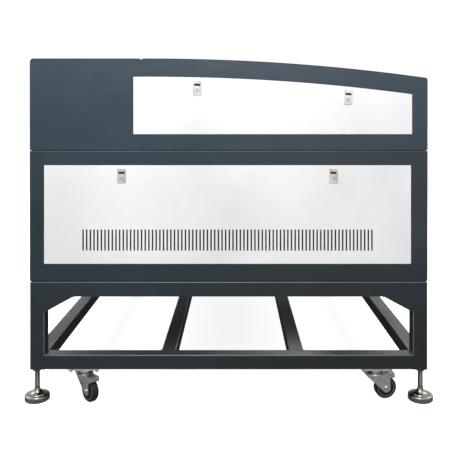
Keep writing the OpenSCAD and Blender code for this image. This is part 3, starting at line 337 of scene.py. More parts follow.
def dust_and_lit_front_tone(f, tone, dust):
    """Mixes dust into tone on faces that look up; its spread along Y, heaviest at the front floor bar and
    thin towards the rear, is partly painted light.
    """
    shape = f.add("ShaderNodeNewGeometry")
    facing_up = f.add("ShaderNodeSeparateXYZ")
    f.link(shape.outputs["Normal"], facing_up.inputs[0])
    lies = f.ramp(facing_up.outputs["Z"], 0.7, 0.95, 0, 1)
    drift = f.ramp(f.noise(7, 6, (0.5, 0.5, 1)), 0.3, 0.7, 0.4 * dust, dust)
    # The spread along Y is partly painted light: dust is heaviest on the lit front floor bar and thin
    # towards the rear.
    lit_front_spread = f.both(f.ramp(f.along("Y"), 0.10, -0.15, 0.12, 1),
                   f.ramp(f.along("Y"), -0.27, -0.38, 1, 0.42))
    dust_colour = (0.26, 0.255, 0.24, 1)
    return f.mix_colour(f.both(f.both(lies, drift), lit_front_spread), tone, dust_colour)


print(worn_tone.__doc__)
print(dust_and_lit_front_tone.__doc__)


# %% Powder coat
def powder_coat(name, colour, roughness, dirt, wear=0.0, painted_light_bands=(), dust=0.0):
    """Sprayed and baked coat: orange peel, a cloudy tone and handling marks. Each of the bands is
    painted light or shade: a colour and the places along axes from which and to which it comes in."""
    f = Finish(name, colour, roughness)
    f.set("Specular IOR Level", 0.45)
    marks = f.noise(9, 8, (0.4, 1, 2.2))
    cloud = f.ramp(f.noise(2.3, 4), 0.35, 0.65, 0, 1)
    tone = f.mix_colour(cloud, f.shade(0.93), f.shade(1.07))
    # Each band mixes in painted light or shade along the axes it names.
    for other, places in painted_light_bands:
        amount = None
        for axis, start, end in places:
            here = f.ramp(f.along(axis), start, end, 0, 1)
            amount = f.both(amount, here) if amount else here
        tone = f.mix_colour(amount, tone, (*other, 1))
    tone = f.mix_colour(f.ramp(marks, 0.62, 0.75, 0, dirt), tone, f.shade(0.72))
    if wear:
        tone = worn_tone(f, tone, wear)
    if dust:
        tone = dust_and_lit_front_tone(f, tone, dust)
    f.feed("Base Color", tone)
    f.feed("Roughness", f.ramp(marks, 0.3, 0.75, roughness - 0.05, roughness + 0.12))
    f.bump(f.noise(700, 2), 0.00006)
    return f.material


print(powder_coat.__doc__)


# %% [markdown]
# ### Plate, rubber, aluminium and glass
#
# These need fewer layers. Plate is cloudy with fine scratches, rubber and moulded plastic have a
# grain, drawn aluminium has lines along one axis, and glass has faint wipes. Noise that is
# squeezed along one axis gives lines, so no other pattern is needed.


# %% Plate and rubber
def plated(name, colour, roughness):
    """Zinc or nickel plate: cloudy, with fine scratches."""
    f = Finish(name, colour, roughness, 1.0)
    cloud = f.noise(60, 5)
    f.cloudy(cloud, 0.86, 1.08)
    f.feed("Roughness", f.ramp(cloud, 0.3, 0.7, roughness - 0.08, roughness + 0.12))
    f.bump(f.noise(1400, 2, (1, 1, 0.1)), 0.00002)
    return f.material


def grained(name, colour, roughness, grain=900, depth=0.00008, gloss=0.5):
    """Rubber or moulded plastic with a fine grain and dust in it."""
    f = Finish(name, colour, roughness)
    f.set("Specular IOR Level", gloss)
    f.cloudy(f.noise(30, 6), 0.9, 1.35, 0.45, 0.75)
    f.bump(f.noise(grain, 3), depth)
    return f.material


print(plated.__doc__)
print(grained.__doc__)


# %% Aluminium and glass
def brushed(name, colour, along, roughness=0.34):
    """Drawn or brushed aluminium; along is the axis, 0 to 2, that the lines follow."""
    f = Finish(name, colour, roughness, 1.0)
    stretch = [1.0, 1.0, 1.0]
    stretch[along] = 0.02
    lines = f.noise(900, 3, tuple(stretch))
    f.cloudy(lines, 0.9, 1.05)
    f.feed("Roughness", f.ramp(lines, 0.3, 0.7, roughness - 0.06, roughness + 0.1))
    f.bump(lines, 0.00001)
    return f.material


def clear(name, colour, roughness, ior=1.49):
    """Acrylic or glass, tinted through and faintly wiped."""
    f = Finish(name, colour, roughness)
    f.set("Transmission Weight", 1.0)
    f.set("IOR", ior)
    wipes = f.noise(5, 6, (0.3, 1, 1))
    f.feed("Roughness", f.ramp(wipes, 0.4, 0.7, roughness, roughness + 0.06))
    return f.material


print(brushed.__doc__)
print(clear.__doc__)


# %% The machine's paints, with painted light and shade
# The hood's coat is the slate's own colour. Its bands are painted light: lighter towards the front, and
# lighter still on the top towards the front.
hood_slate_painted_light = powder_coat("hood_slate_painted_light", (0.023, 0.044, 0.063), 0.36, 0.2, 0.35, (
    ((0.032, 0.049, 0.068), [("Y", 0.10, -0.50)]),
    ((0.042, 0.058, 0.077), [("Z", 1.06, 1.14), ("Y", 0.30, -0.40)])))
# The cabinet's coat is the hood's slate made darker: painted shade. Its bands are painted light and shade:
# lighter towards the top and the front, darker low down at the front.
cabinet_slate_painted_shade = powder_coat("cabinet_slate_painted_shade", (0.0135, 0.0275, 0.0365), 0.38, 0.25, 0.3, (
    ((0.0200, 0.0375, 0.0500), [("Z", 0.62, 0.85)]),
    ((0.0260, 0.0360, 0.0440), [("Y", 0.10, -0.60), ("Z", 0.44, 0.54)]),
    ((0.0140, 0.0235, 0.0275), [("Y", 0.30, -0.20), ("Z", 0.52, 0.45)])))
# The stand's coat is the same slate made darker still: painted shade. Its bands are painted light and
# shade: lighter along the top rails towards the rear, darker low down towards the front.
stand_coat_painted_shade = powder_coat("stand_paint", (0.010, 0.017, 0.021), 0.40, 0.4, 0.45, (
    ((0.0135, 0.0235, 0.0310), [("Z", 0.31, 0.37), ("Y", -0.30, 0.40)]),
    ((0.0070, 0.0105, 0.0120), [("Y", 0.20, -0.40), ("Z", 0.34, 0.29)])), dust=1.0)
white_coat = powder_coat("white_paint", (0.87, 0.875, 0.865), 0.38, 0.03)
inner_coat = powder_coat("inner_sheet", (0.16, 0.18, 0.19), 0.5, 0.4)
print("paints", len(bpy.data.materials))

# %% The machine's other finishes
zinc = plated("zinc", (0.60, 0.60, 0.585), 0.3)
# Feet and forks take darker copies of the plate: painted shade, standing in for the darker surroundings
# that their steel reflects.
foot_steel_painted_shade = plated("foot_steel_painted_shade", (0.24, 0.23, 0.215), 0.26)
fork_steel_painted_shade = plated("fork_steel_painted_shade", (0.50, 0.495, 0.475), 0.34)
dark_steel = plated("dark_steel", (0.10, 0.10, 0.10), 0.42)
latch_plate_finish = grained("latch_zinc", (0.57, 0.57, 0.51), 0.42, 500, 0.00003)
# The upper latches take a lighter copy of the latch finish: painted light, for the stronger light on the
# upper door.
latch_plate_painted_light = grained("latch_zinc_painted_light", (0.675, 0.67, 0.635), 0.42, 500, 0.00003)
tyre_rubber = grained("tyre", (0.012, 0.012, 0.013), 0.5, gloss=0.25)
grey_ring = grained("tyre_ring", (0.16, 0.16, 0.157), 0.5)
seal_rubber = grained("seal_rubber", (0.012, 0.012, 0.013), 0.75)
belt_rubber = grained("belt_rubber", (0.015, 0.015, 0.016), 0.7)
black_plastic = grained("black_plastic", (0.016, 0.017, 0.018), 0.45)
red_plastic = grained("red_plastic", (0.55, 0.015, 0.012), 0.25, 300, 0.00001)
aluminium = brushed("aluminium", (0.62, 0.63, 0.64), 0)
smoked = clear("window", (0.62, 0.28, 0.08), 0.03)
tube_glass = clear("glass", (0.90, 0.96, 0.97), 0.01)
print("finishes", len(bpy.data.materials))

# %% The floor's finish
floor_finish = bpy.data.materials.new("studio_floor")
floor_finish.use_nodes = True
ground = floor_finish.node_tree
ground.nodes.clear()
pale = shader_node(ground, "ShaderNodeBsdfDiffuse", Color=(0.93, 0.93, 0.93, 1))
glow = shader_node(ground, "ShaderNodeEmission", Strength=0.86)
grey = shader_node(ground, "ShaderNodeBsdfDiffuse", Color=(0.30, 0.30, 0.30, 1))
floor_rays = shader_node(ground, "ShaderNodeLightPath")
floor_seen = shader_node(ground, "ShaderNodeAddShader")
floor_mix = shader_node(ground, "ShaderNodeMixShader")
floor_out = shader_node(ground, "ShaderNodeOutputMaterial")
for source, socket in ((pale.outputs[0], floor_seen.inputs[0]),
                       (glow.outputs[0], floor_seen.inputs[1]),
                       (floor_rays.outputs["Is Camera Ray"], floor_mix.inputs[0]),
                       (grey.outputs[0], floor_mix.inputs[1]),
                       (floor_seen.outputs[0], floor_mix.inputs[2]),
                       (floor_mix.outputs[0], floor_out.inputs[0])):
    ground.links.new(source, socket)
floor.data.materials.append(floor_finish)
print("floor nodes", len(ground.nodes))

# %% [markdown]
# ## Finishes onto the carried-over parts
#
# Sixty parts could each be given a finish by hand. The record already says which slot each part
# takes its finish from, so the notebook only needs one finish for each slot, and a short list of
# the parts that take a lighter or darker copy of their slot's finish: painted light and shade.

# %% Give each part its finish
finishes = {
    "slate_paint": hood_slate_painted_light, "stand_paint": stand_coat_painted_shade, "white_paint": white_coat,
    "inner_sheet": inner_coat, "zinc": zinc, "latch_zinc": latch_plate_finish,
    "dark_steel": dark_steel, "tyre": tyre_rubber, "seal_rubber": seal_rubber,
    "belt_rubber": belt_rubber, "black_plastic": black_plastic, "red_plastic": red_plastic,
    "aluminium": aluminium, "window": smoked, "glass": tube_glass,
}
slot_of = {s["node"]: s["material_slot"] for s in frame["record"]["subparts"]}
# The cabinet, feet, forks and upper latches take lighter or darker copies of their slot's finish: painted
# light and shade.
painted_light_copies = {"cabinet_": cabinet_slate_painted_shade, "foot_": foot_steel_painted_shade, "fork_": fork_steel_painted_shade,
              "upper_latch": latch_plate_painted_light, "paddle_upper": latch_plate_painted_light}
slots_that_vary = ("slate_paint", "zinc", "latch_zinc")
for name, node in nodes.items():
    finish = finishes[slot_of[name]]
    if slot_of[name] in slots_that_vary:
        for start, special in painted_light_copies.items():
            if name.startswith(start):
                finish = special
    node.data.materials.clear()
    node.data.materials.append(finish)
print("parts finished", len(nodes))

# %% [markdown]
# ## Rounded edges
#
# A folded sheet or a drawn tube has no knife edge, and the thin bright line along a rounded edge
# is what tells the eye that a thing is metal. A bevel in the shader would show only up close, so
# the edges are really rounded. Each part that shows is copied, its loose triangles are merged
# into clean faces, and a bevel rounds its edges by a millimetre or less. The copy then stands for
# the part.


# %% Picking and shading
def pick(piece):
    """Makes piece the only selected and the active object."""
    bpy.ops.object.select_all(action="DESELECT")
    piece.select_set(True)
    bpy.context.view_layer.objects.active = piece


def even_shading(piece, angle=50):
    """Smooth shading that keeps big flat faces flat right up to their rounded edges."""
    pick(piece)
    bpy.ops.object.shade_smooth_by_angle(angle=math.radians(angle))
    weighted = piece.modifiers.new("weighted", "WEIGHTED_NORMAL")
    weighted.keep_sharp = True
    weighted.weight = 100
    bpy.ops.object.modifier_apply(modifier="weighted")


print(even_shading.__doc__)


# %% Rounding
def round_edges(piece, width, segments=2, angle=30):
    """Bevels the edges of piece that are sharper than angle, in degrees."""
    pick(piece)
    bevel = piece.modifiers.new("bevel", "BEVEL")
    bevel.width = width
    bevel.segments = segments
    bevel.angle_limit = math.radians(angle)
    bevel.harden_normals = False
    bevel.use_clamp_overlap = True
    bpy.ops.object.modifier_apply(modifier="bevel")
    even_shading(piece)
    return piece


print(round_edges.__doc__)


# %% Copies that stand for a part
def merged_copy(node):
    """A free copy of a carried-over part with its triangles merged into clean faces."""
    piece = nodes[node].copy()
    piece.data = nodes[node].data.copy()
    piece.name = node + "_dressed"
    piece.parent = None
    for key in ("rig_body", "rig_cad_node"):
        if key in piece:
            del piece[key]
    scene.collection.objects.link(piece)
    pick(piece)
    bpy.ops.object.mode_set(mode="EDIT")
    bpy.ops.mesh.select_all(action="SELECT")
    bpy.ops.mesh.customdata_custom_splitnormals_clear()
    bpy.ops.mesh.remove_doubles(threshold=0.00001)
    bpy.ops.mesh.dissolve_limited(angle_limit=math.radians(0.2))
    bpy.ops.object.mode_set(mode="OBJECT")
    return piece


body_of = {n: b for b, members in frame["record"]["behaviour"]["bodies"].items() for n in members}


def stands_for(piece, node):
    """Makes piece the looks of a part: it moves with the part's body, and the part is hidden."""
    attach(piece, body_of[node])
    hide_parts(node)
    return piece


# %% [markdown]
# ## The stand
#
# Square tube is drawn with round corners of about 3 mm. A bevel by angle would round the welded
# joints too, so only the long outer edges get a bevel weight, and the bevel reads that. The
# rounded strip takes a paler finish of its own: a painted highlight along the corners, with chips
# and scratches of wear in it. A still paler strip on some upper inner corners is painted highlight too.

# %% Painted highlights for the tube's corners
edge_highlight_coat = powder_coat("stand_paint_edge_highlight", (0.105, 0.118, 0.125), 0.36, 0.7, 0.8)
rail_highlight_coat = powder_coat("stand_paint_rail_highlight", (0.33, 0.325, 0.31), 0.34, 0.8, 0.6)


def refinish(piece, finish, wanted):
    """Gives the faces of piece for which wanted(face) is true another finish, and counts them."""
    piece.data.materials.append(finish)
    slot = len(piece.data.materials) - 1
    chosen = [face for face in piece.data.polygons if wanted(face)]
    for face in chosen:
        face.material_index = slot
    return len(chosen)


print("finishes", len(bpy.data.materials))


# %% Rounding of the long edges
def round_long_edges(piece, width, shortest, segments, edge_finish, wanted=None):
    """Rounds the outward edges of piece that are longer than shortest and pass wanted(middle)."""
    bm = bmesh.new()
    bm.from_mesh(piece.data)
    weight = bm.edges.layers.float.new("bevel_weight_edge")
    for edge in bm.edges:
        if len(edge.link_faces) == 2 and edge.calc_length() > shortest:
            middle = (edge.verts[0].co + edge.verts[1].co) / 2
            if edge.calc_face_angle_signed() > math.radians(30) and (not wanted or wanted(middle)):
                edge[weight] = 1.0
    bm.to_mesh(piece.data)
    bm.free()
    pick(piece)
    bevel = piece.modifiers.new("corners", "BEVEL")
    bevel.limit_method = "WEIGHT"
    bevel.width = width
    bevel.segments = segments
    bevel.use_clamp_overlap = False
    piece.data.materials.append(edge_finish)
    bevel.material = len(piece.data.materials) - 1
    bpy.ops.object.modifier_apply(modifier="corners")
    even_shading(piece)
    return piece


print(round_long_edges.__doc__)


# %% Cuts across a part
def cut_across(piece, axis, places):
    """Cuts the faces of piece across axis, "X", "Y" or "Z", at each of places."""
    normal = Vector([float(axis == a) for a in "XYZ"])
    pick(piece)
    bpy.ops.object.mode_set(mode="EDIT")
    for place in places:
        bpy.ops.mesh.select_all(action="SELECT")
        bpy.ops.mesh.bisect(plane_co=normal * place, plane_no=normal)
    bpy.ops.object.mode_set(mode="OBJECT")
    return piece


print(cut_across.__doc__)


# %% Which corners of the stand are free
leg_low, leg_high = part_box("stand_legs")
tube_w = 0.050
corner_r = 0.003
gusset_along, gusset_down = 0.100, 0.054
rail_top, rail_under = leg_low.z + tube_w, leg_high.z - tube_w
inner_x, inner_y = leg_high.x - tube_w, leg_high.y - tube_w
floor_bars = (-0.236, 0.210)
skin = 0.001
edge_strip = corner_r + skin


def free_corner(middle):
    """True for the corners of a leg that no rail or corner plate is welded flush with."""
    side, front = abs(middle.x) > leg_high.x - skin, abs(middle.y) > leg_high.y - skin
    on_top = middle.z > leg_high.z - skin
    between_rails = rail_top < middle.z < rail_under - gusset_down
    return (side and front) or between_rails or (on_top and (side or front))


def highlight_strip(face):
    """True for the rounded upper corners on the long rails' inner sides and on one edge of the rear floor
    bar, which take a painted highlight.
    """
    bar_edge = floor_bars[1] - tube_w / 2
    on_rail = 0 < abs(face.center.y) - inner_y < edge_strip
    on_bar = abs(face.center.y - bar_edge) < 0.005
    upper = rail_top - edge_strip < face.center.z < rail_top
    return face.material_index == 1 and (on_rail or on_bar) and upper


print("rail from", round(leg_low.z, 3), "to", round(rail_top, 3))

# %% Round the stand
longer_than_gusset = 0.15
for node in ("stand_legs", "stand_end_rails", "stand_long_rails"):
    tubes = merged_copy(node)
    if node == "stand_legs":
        cut_across(tubes, "Z", (rail_top, rail_under - gusset_down, rail_under))
        round_long_edges(tubes, corner_r, 0.04, 3, edge_highlight_coat, free_corner)
    else:
        round_long_edges(tubes, corner_r, longer_than_gusset, 3, edge_highlight_coat)
    if node == "stand_long_rails":
        print("scuffed faces", refinish(tubes, rail_highlight_coat, highlight_strip))
    stands_for(tubes, node)
print("stand rounded")

# %% [markdown]
# ## Sheets, doors and hardware
#
# The other parts have few joints that lie flush, so they can be rounded by angle: doors and thin
# parts by half a millimetre, folded sheets by a little more, and castings by a millimetre.

# %% Round everything else that shows
edge_widths = {
    0.0008: ["cabinet_end_left", "cabinet_end_right", "cabinet_front", "cabinet_rear",
             "hood_side_left", "hood_side_right", "hood_front", "hood_rear", "control_deck",
             "lid", "tube_cover", "upper_latch_plates", "lower_latch_plates"],
    0.0005: ["upper_side_door", "lower_side_door", "right_side_door", "front_door",
             "paddle_upper_front", "paddle_upper_rear", "paddle_lower_front", "paddle_lower_rear",
             "cutting_table", "control_panel", "belt_drive"],
    0.0010: ["fork_front_left", "fork_front_right", "fork_rear_left", "fork_rear_right",
             "caster_plates", "foot_nuts", "gantry_beam", "carriage", "chamber_walls",
             "tube_mounts", "electrics", "hinge_beam"],
}
dressed_parts = {node: stands_for(round_edges(merged_copy(node), width), node)
                 for width, members in edge_widths.items() for node in members}
print("rounded", len(dressed_parts), "parts")

# %% [markdown]
# ## Painted shade on door rims and painted highlights on edges
#
# The folded rim of each door takes the black of the seal rubber: a painted shade that keeps the
# gap round a door dark to its bottom. The upper edge of each cabinet end takes the pale edge coat:
# a painted highlight that shows as a thin pale line under the hood. Strips of their own would be
# thinner than the paint, so both are only another finish on faces that are there.

# %% Rims of the doors and tops of the ends
# Painted shade: each door's rim faces take the black seal rubber, so the gap round the door looks dark.
for door, axis in (("upper_side_door", 0), ("lower_side_door", 0), ("right_side_door", 0),
                   ("front_door", 1)):
    painted_shade_rim = refinish(dressed_parts[door], seal_rubber, lambda face: abs(face.normal[axis]) < 0.2)
    print(door, "rim faces", painted_shade_rim)
# Painted highlight: the upper edge of each cabinet end takes the pale edge coat.
for node in ("cabinet_end_left", "cabinet_end_right"):
    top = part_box(node)[1].z
    highlit = refinish(dressed_parts[node], edge_highlight_coat,
                    lambda face: face.center.z > top - skin and abs(face.normal.x) > 0.15)
    print(node, "worn faces", highlit)

# %% [markdown]
# ## Helpers for the small parts
#
# Screws, seals, knobs and beads could each be made by hand where they belong, but most of them
# repeat. So each one is modelled once, standing on Z at the origin: a primitive that is cut,
# inset, extruded or spun in edit mode. A matrix then carries it to its place, inside its mesh, so
# that every object stays at the origin like the carried-over parts.


# %% Primitives and edit mode
def added(primitive, **settings):
    """The object that a primitive's operator adds, with nothing else selected."""
    bpy.ops.object.select_all(action="DESELECT")
    primitive(**settings)
    return bpy.context.active_object


def edit(piece):
    """Opens piece in edit mode with nothing selected."""
    pick(piece)
    bpy.ops.object.mode_set(mode="EDIT")
    bpy.ops.mesh.select_all(action="DESELECT")


def block(low, high):
    """A sharp block between two corners."""
    low, high = Vector(low), Vector(high)
    piece = added(bpy.ops.mesh.primitive_cube_add, size=1, location=(low + high) / 2)
    piece.scale = high - low
    bpy.ops.object.transform_apply(location=True, rotation=True, scale=True)
    return piece


def recess(piece, direction, wall, depth):
    """Sinks the faces of piece that look in direction by depth, and leaves a wall round them."""
    inward = -Vector(direction)
    edit(piece)
    bm = bmesh.from_edit_mesh(piece.data)
    for face in bm.faces:
        face.select_set(face.normal.dot(inward) < -0.9)
    bm.select_flush_mode()
    bmesh.update_edit_mesh(piece.data)
    bpy.ops.mesh.inset(thickness=wall)
    bpy.ops.mesh.extrude_region_move(TRANSFORM_OT_translate={"value": inward * depth})
    bpy.ops.object.mode_set(mode="OBJECT")
    return piece


print(block.__doc__)
print(recess.__doc__)


# %% Turned parts and cuts
def drawn(points):
    """A line of edges through points of (x, z), selected in edit mode."""
    piece = added(bpy.ops.mesh.primitive_plane_add, size=0.001)
    bpy.ops.object.mode_set(mode="EDIT")
    bpy.ops.mesh.select_all(action="SELECT")
    bpy.ops.mesh.merge(type="CENTER")
    bpy.ops.transform.translate(value=(points[0][0], 0, points[0][1]))
    for (x0, z0), (x1, z1) in zip(points, points[1:]):
        bpy.ops.mesh.extrude_region_move(TRANSFORM_OT_translate={"value": (x1 - x0, 0, z1 - z0)})
    bpy.ops.mesh.select_all(action="SELECT")
    return piece


def turned(outline, steps):
    """A piece turned about Z, from an outline of (radius, height) points that ends on the axis
    or where it began."""
    piece = drawn(outline)
    bpy.ops.mesh.spin(steps=steps, angle=math.tau, center=(0, 0, 0), axis=(0, 0, 1))
    bpy.ops.mesh.select_all(action="SELECT")
    bpy.ops.mesh.remove_doubles(threshold=0.000001)
    bpy.ops.mesh.normals_make_consistent(inside=False)
    bpy.ops.object.mode_set(mode="OBJECT")
    even_shading(piece, 35)
    return piece


def cut(piece, cutter):
    """Cuts the shape of cutter out of piece."""
    pick(piece)
    boolean = piece.modifiers.new("cut", "BOOLEAN")
    boolean.operation = "DIFFERENCE"
    boolean.object = cutter
    bpy.ops.object.modifier_apply(modifier="cut")
    bpy.data.objects.remove(cutter)
    return piece


print(turned.__doc__)
print(cut.__doc__)


# %% Places and names
def moved(x, y, z):
    """The matrix of a move."""
    return Matrix.Translation((x, y, z))


def facing(place, normal, turn=0.0):
    """The matrix that stands a piece made on Z at place, looking along normal."""
    lean = Vector(normal).to_track_quat("Z", "Y").to_matrix().to_4x4()
    return Matrix.Translation(place) @ lean @ Matrix.Rotation(turn, 4, "Z")


def settle(piece, name, body, slot, finish=None, at=None):
    """Names piece, moves its mesh by the matrix at, and gives it its body and a finish: finish if given,
    else the one for slot.
    """
    if at is not None:
        piece.data.transform(at)
    pick(piece)
    bpy.ops.object.transform_apply(location=True, rotation=True, scale=True)
    piece.name = name
    piece.data.materials.clear()
    piece.data.materials.append(finish or finishes[slot])
    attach(piece, body)
    return piece


sink = 0.0002
print("small parts are sunk by", sink, "m into what carries them")


# %% [markdown]
# ## Pull latches
#
# A side door is held by two pull latches. Each has a zinc plate with a window, a black cup behind
# it for the fingertips, and a paddle with a round lock boss. The cup is what makes the slot over
# the paddle black. A black patch would look flat from the side, so the cup is a real hollow box:
# a block with its face inset and pushed in.

# %% Latch cups and lock bosses
door_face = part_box("upper_side_door")[0].x
latch_tilts = {"paddle_upper_front": 4, "paddle_upper_rear": 1, "paddle_lower_front": 0,
               "paddle_lower_rear": 0}
paddle_drop = 0.0046
cup_corners = ((0.0021, -0.0130, -0.0185), (0.0115, 0.0130, 0.0165))
cup_wall, cup_depth = 0.0012, 0.0080
boss_outline = [(0, 0), (0.0042, 0), (0.0042, 0.0008), (0.0036, 0.0013), (0.0021, 0.0013),
                (0.0019, 0.0007), (0, 0.0007)]
slot_corners = ((-0.0004, -0.0015, 0.0004), (0.0004, 0.0015, 0.002))


def latch_place(paddle):
    """The matrix at a latch's middle, on the door's outer face, leaning as the latch leans."""
    low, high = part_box(paddle)
    lean = Matrix.Rotation(math.radians(latch_tilts[paddle]), 4, "X")
    middle = moved(door_face, (low.y + high.y) / 2, (low.z + high.z) / 2)
    return middle @ lean @ moved(0, 0, paddle_drop)


for paddle in latch_tilts:
    door = "upper_side_door" if "upper" in paddle else "lower_side_door"
    cup = recess(block(*cup_corners), (-1, 0, 0), cup_wall, cup_depth)
    settle(cup, paddle.replace("paddle", "latch_cup"), door, "black_plastic", at=latch_place(paddle))
    boss = cut(turned(boss_outline, 24), block(*slot_corners))
    boss_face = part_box(paddle)[0].x - door_face
    settle(boss, paddle.replace("paddle", "lock_boss"), body_of[paddle], "zinc",
           at=latch_place(paddle) @ facing((boss_face + sink, 0, -paddle_drop), (-1, 0, 0)))
print("latches dressed", len(latch_tilts))

# %% [markdown]
# ## Feet
#
# The rod of a levelling foot is threaded all the way. Bump would not show at the rod's edge, so
# the thread is real. The rod is first turned down to the bottom of the thread. The thread is one
# small triangle that climbs round it up to the rod's full size, which is what the Screw modifier
# makes, so it still passes the nut. Its ends are closed.


# %% Threads
def wound(piece, pitch, turns, steps):
    """Winds the flat outline of piece up round Z, and closes both ends."""
    wind = piece.modifiers.new("wind", "SCREW")
    wind.axis = "Z"
    wind.angle = math.tau
    wind.screw_offset = pitch
    wind.iterations = turns
    wind.steps = steps
    wind.render_steps = steps
    bpy.ops.object.modifier_apply(modifier="wind")
    edit(piece)
    bpy.ops.mesh.select_all(action="SELECT")
    bpy.ops.mesh.fill_holes(sides=12)
    bpy.ops.mesh.select_all(action="SELECT")
    bpy.ops.mesh.normals_make_consistent(inside=False)
    bpy.ops.object.mode_set(mode="OBJECT")
    return piece


def thread(radius, pitch, length, depth):
    """A raised thread round Z, from Z = 0 up, that starts just under radius."""
    root = radius - 0.0002
    piece = drawn([(root, 0), (root + depth, pitch * 0.45), (root, pitch * 0.90)])
    bpy.ops.mesh.edge_face_add()
    bpy.ops.mesh.select_all(action="SELECT")
    bpy.ops.mesh.delete(type="ONLY_FACE")
    bpy.ops.object.mode_set(mode="OBJECT")
    return wound(piece, pitch, int(length / pitch), 20)


print(thread.__doc__)


# %% The feet's rods
thread_pitch, thread_low = 0.002, 0.0478
rod_r, root_r = 0.0090, 0.0084
crest = rod_r + 0.00015 - root_r
chamfer = 0.003
feet = [n for n in nodes if n.startswith("foot_") and n != "foot_nuts"]
for foot in feet:
    low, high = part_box(foot)
    middle = (low + high) / 2
    turned_down = cut_across(merged_copy(foot), "Z", (thread_low,))
    for vertex in turned_down.data.vertices:
        arm = vertex.co.xy - middle.xy
        if vertex.co.z > thread_low - 0.0001 and arm.length > root_r:
            vertex.co.xy = middle.xy + arm.normalized() * root_r
    even_shading(turned_down, 35)
    settle(turned_down, foot + "_dressed", body_of[foot], slot_of[foot], foot_steel_painted_shade)
    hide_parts(foot)
    threads = thread(root_r, thread_pitch, high.z - chamfer - thread_low, crest)
    settle(threads, foot + "_thread", body_of[foot], slot_of[foot], foot_steel_painted_shade,
           moved(middle.x, middle.y, thread_low))
print("threaded", feet)

# %% [markdown]
# ## Casters
#
# A caster plate is screwed to the rail with four hexagon bolts on washers. Over the fork sits a
# dark ball race, and the tyre's tread is a ring of small blocks. Linked copies would be lighter,
# but each copy needs a mesh of its own, so one bolt of a spun washer and a six-sided head is
# copied sixteen times and joined.


# %% Copies of one master
def joined(pieces):
    """One object of several."""
    bpy.ops.object.select_all(action="DESELECT")
    for piece in pieces:
        piece.select_set(True)
    bpy.context.view_layer.objects.active = pieces[0]
    if len(pieces) > 1:
        bpy.ops.object.join()
    return pieces[0]


def copies(master, places):
    """One object of copies of master, a copy for each matrix in places; master is used up."""
    made = []
    for place in places:
        copy = master.copy()
        copy.data = master.data.copy()
        copy.data.transform(place)
        scene.collection.objects.link(copy)
        made.append(copy)
    bpy.data.objects.remove(master)
    return joined(made)


both_sides = (-1, 1)
corners = [(sx, sy) for sx in both_sides for sy in both_sides]
print("corners", corners)


# %% Bolts under the caster plates
def hexagon_bolt(across_flats, head_h, washer_h=0.0014, seat=0.0012):
    """A hexagon head with chamfered corners on a washer, pointing along +Z."""
    radius = across_flats / math.sqrt(3)
    head = added(bpy.ops.mesh.primitive_cylinder_add, vertices=6, radius=radius, depth=head_h,
                 location=(0, 0, head_h / 2 + seat))
    bpy.ops.object.transform_apply(location=True, rotation=True, scale=True)
    round_edges(head, 0.0005, 2, 25)
    washer = turned([(0, 0), (radius * 1.3, 0), (radius * 1.3, 0.001), (radius * 1.25, washer_h),
                     (0, washer_h)], 24)
    return joined([head, washer])


plate_low, plate_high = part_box("caster_plates")
plate_t, bolt_in = 0.004, 0.009
half_x, half_y = 0.030, 0.053
swivel_y = {-1: plate_low.y + half_y, 1: plate_high.y - half_y}
bolt_places = [facing((sx * (plate_high.x - half_x) + dx * (half_x - bolt_in),
                       swivel_y[sy] + dy * (half_y - bolt_in), plate_high.z - plate_t),
                      (0, 0, -1), 0.3 * dx + 0.7 * dy)
               for sx, sy in corners for dx, dy in corners]
settle(copies(hexagon_bolt(0.010, 0.005), bolt_places), "caster_bolts", "machine", "zinc")
print("caster bolts", len(bolt_places))

# %% Ball races over the forks
race_r, race_h, race_belly = 0.0228, 0.006, 0.0012
race_outline = [(0, 0), (race_r, 0), (race_r + race_belly, 0.0015), (race_r + race_belly, 0.0045),
                (race_r, race_h), (0, race_h)]
swivel_x = leg_high.x - tube_w / 2
race_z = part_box("fork_front_left")[1].z + race_h / 2
races = [moved(sx * swivel_x, swivel_y[sy], race_z) for sx, sy in corners]
settle(copies(turned(race_outline, 40), races), "caster_races", "machine", "dark_steel")
print("ball races", len(races))

# %% Tread and rims of the wheels
wheels = {"wheel_front_left": 8, "wheel_front_right": -35, "wheel_rear_left": -46,
          "wheel_rear_right": -150}
wheel_r, wheel_side = 0.0375, 0.0112
tread_w, tread_count, tread_lean, tread_sunk = 0.0140, 44, 0.5, 0.0004
tread_corners = ((-0.0030, -0.0017, -0.0006), (0.0030, 0.0017, 0.0005))
ring_outline = [(wheel_r - 0.0100, -0.0004), (wheel_r - 0.0082, -0.0004), (wheel_r - 0.0080, 0.0004),
                (wheel_r - 0.0102, 0.0004), (wheel_r - 0.0100, -0.0004)]
for wheel, turn in wheels.items():
    low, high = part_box(wheel)
    hub = Matrix.Translation((low + high) / 2) @ Matrix.Rotation(math.radians(turn), 4, "Z")
    blocks = []
    for row in both_sides:
        for i in range(tread_count):
            around = Matrix.Rotation(math.tau * (i + 0.25 * row) / tread_count, 4, "X")
            blocks.append(hub @ around @ moved(row * tread_w / 4, 0, wheel_r - tread_sunk)
                          @ Matrix.Rotation(-row * tread_lean, 4, "Z"))
    tread_block = round_edges(block(*tread_corners), 0.0004, 1)
    settle(copies(tread_block, blocks), wheel + "_tread", body_of[wheel], "tyre")
    rims = [hub @ facing((side * wheel_side, 0, 0), (side, 0, 0)) for side in both_sides]
    settle(copies(turned(ring_outline, 48), rims), wheel + "_rings", body_of[wheel], "dark_steel",
           grey_ring)
print("wheels dressed", len(wheels))

# %% [markdown]
# ## Welds
#
# The stand is welded, and a weld is a row of small ripples in the corner between two tubes. A
# bevelled curve would be quicker and would look like a rod. Instead one flattened sphere of few
# faces is copied along each corner line, a little uneven in size. The paint covers it.

# %% Where the ripples go
gusset_face = 0.004
weld_in, weld_out = 0.003, 0.004
ripple = 0.0036


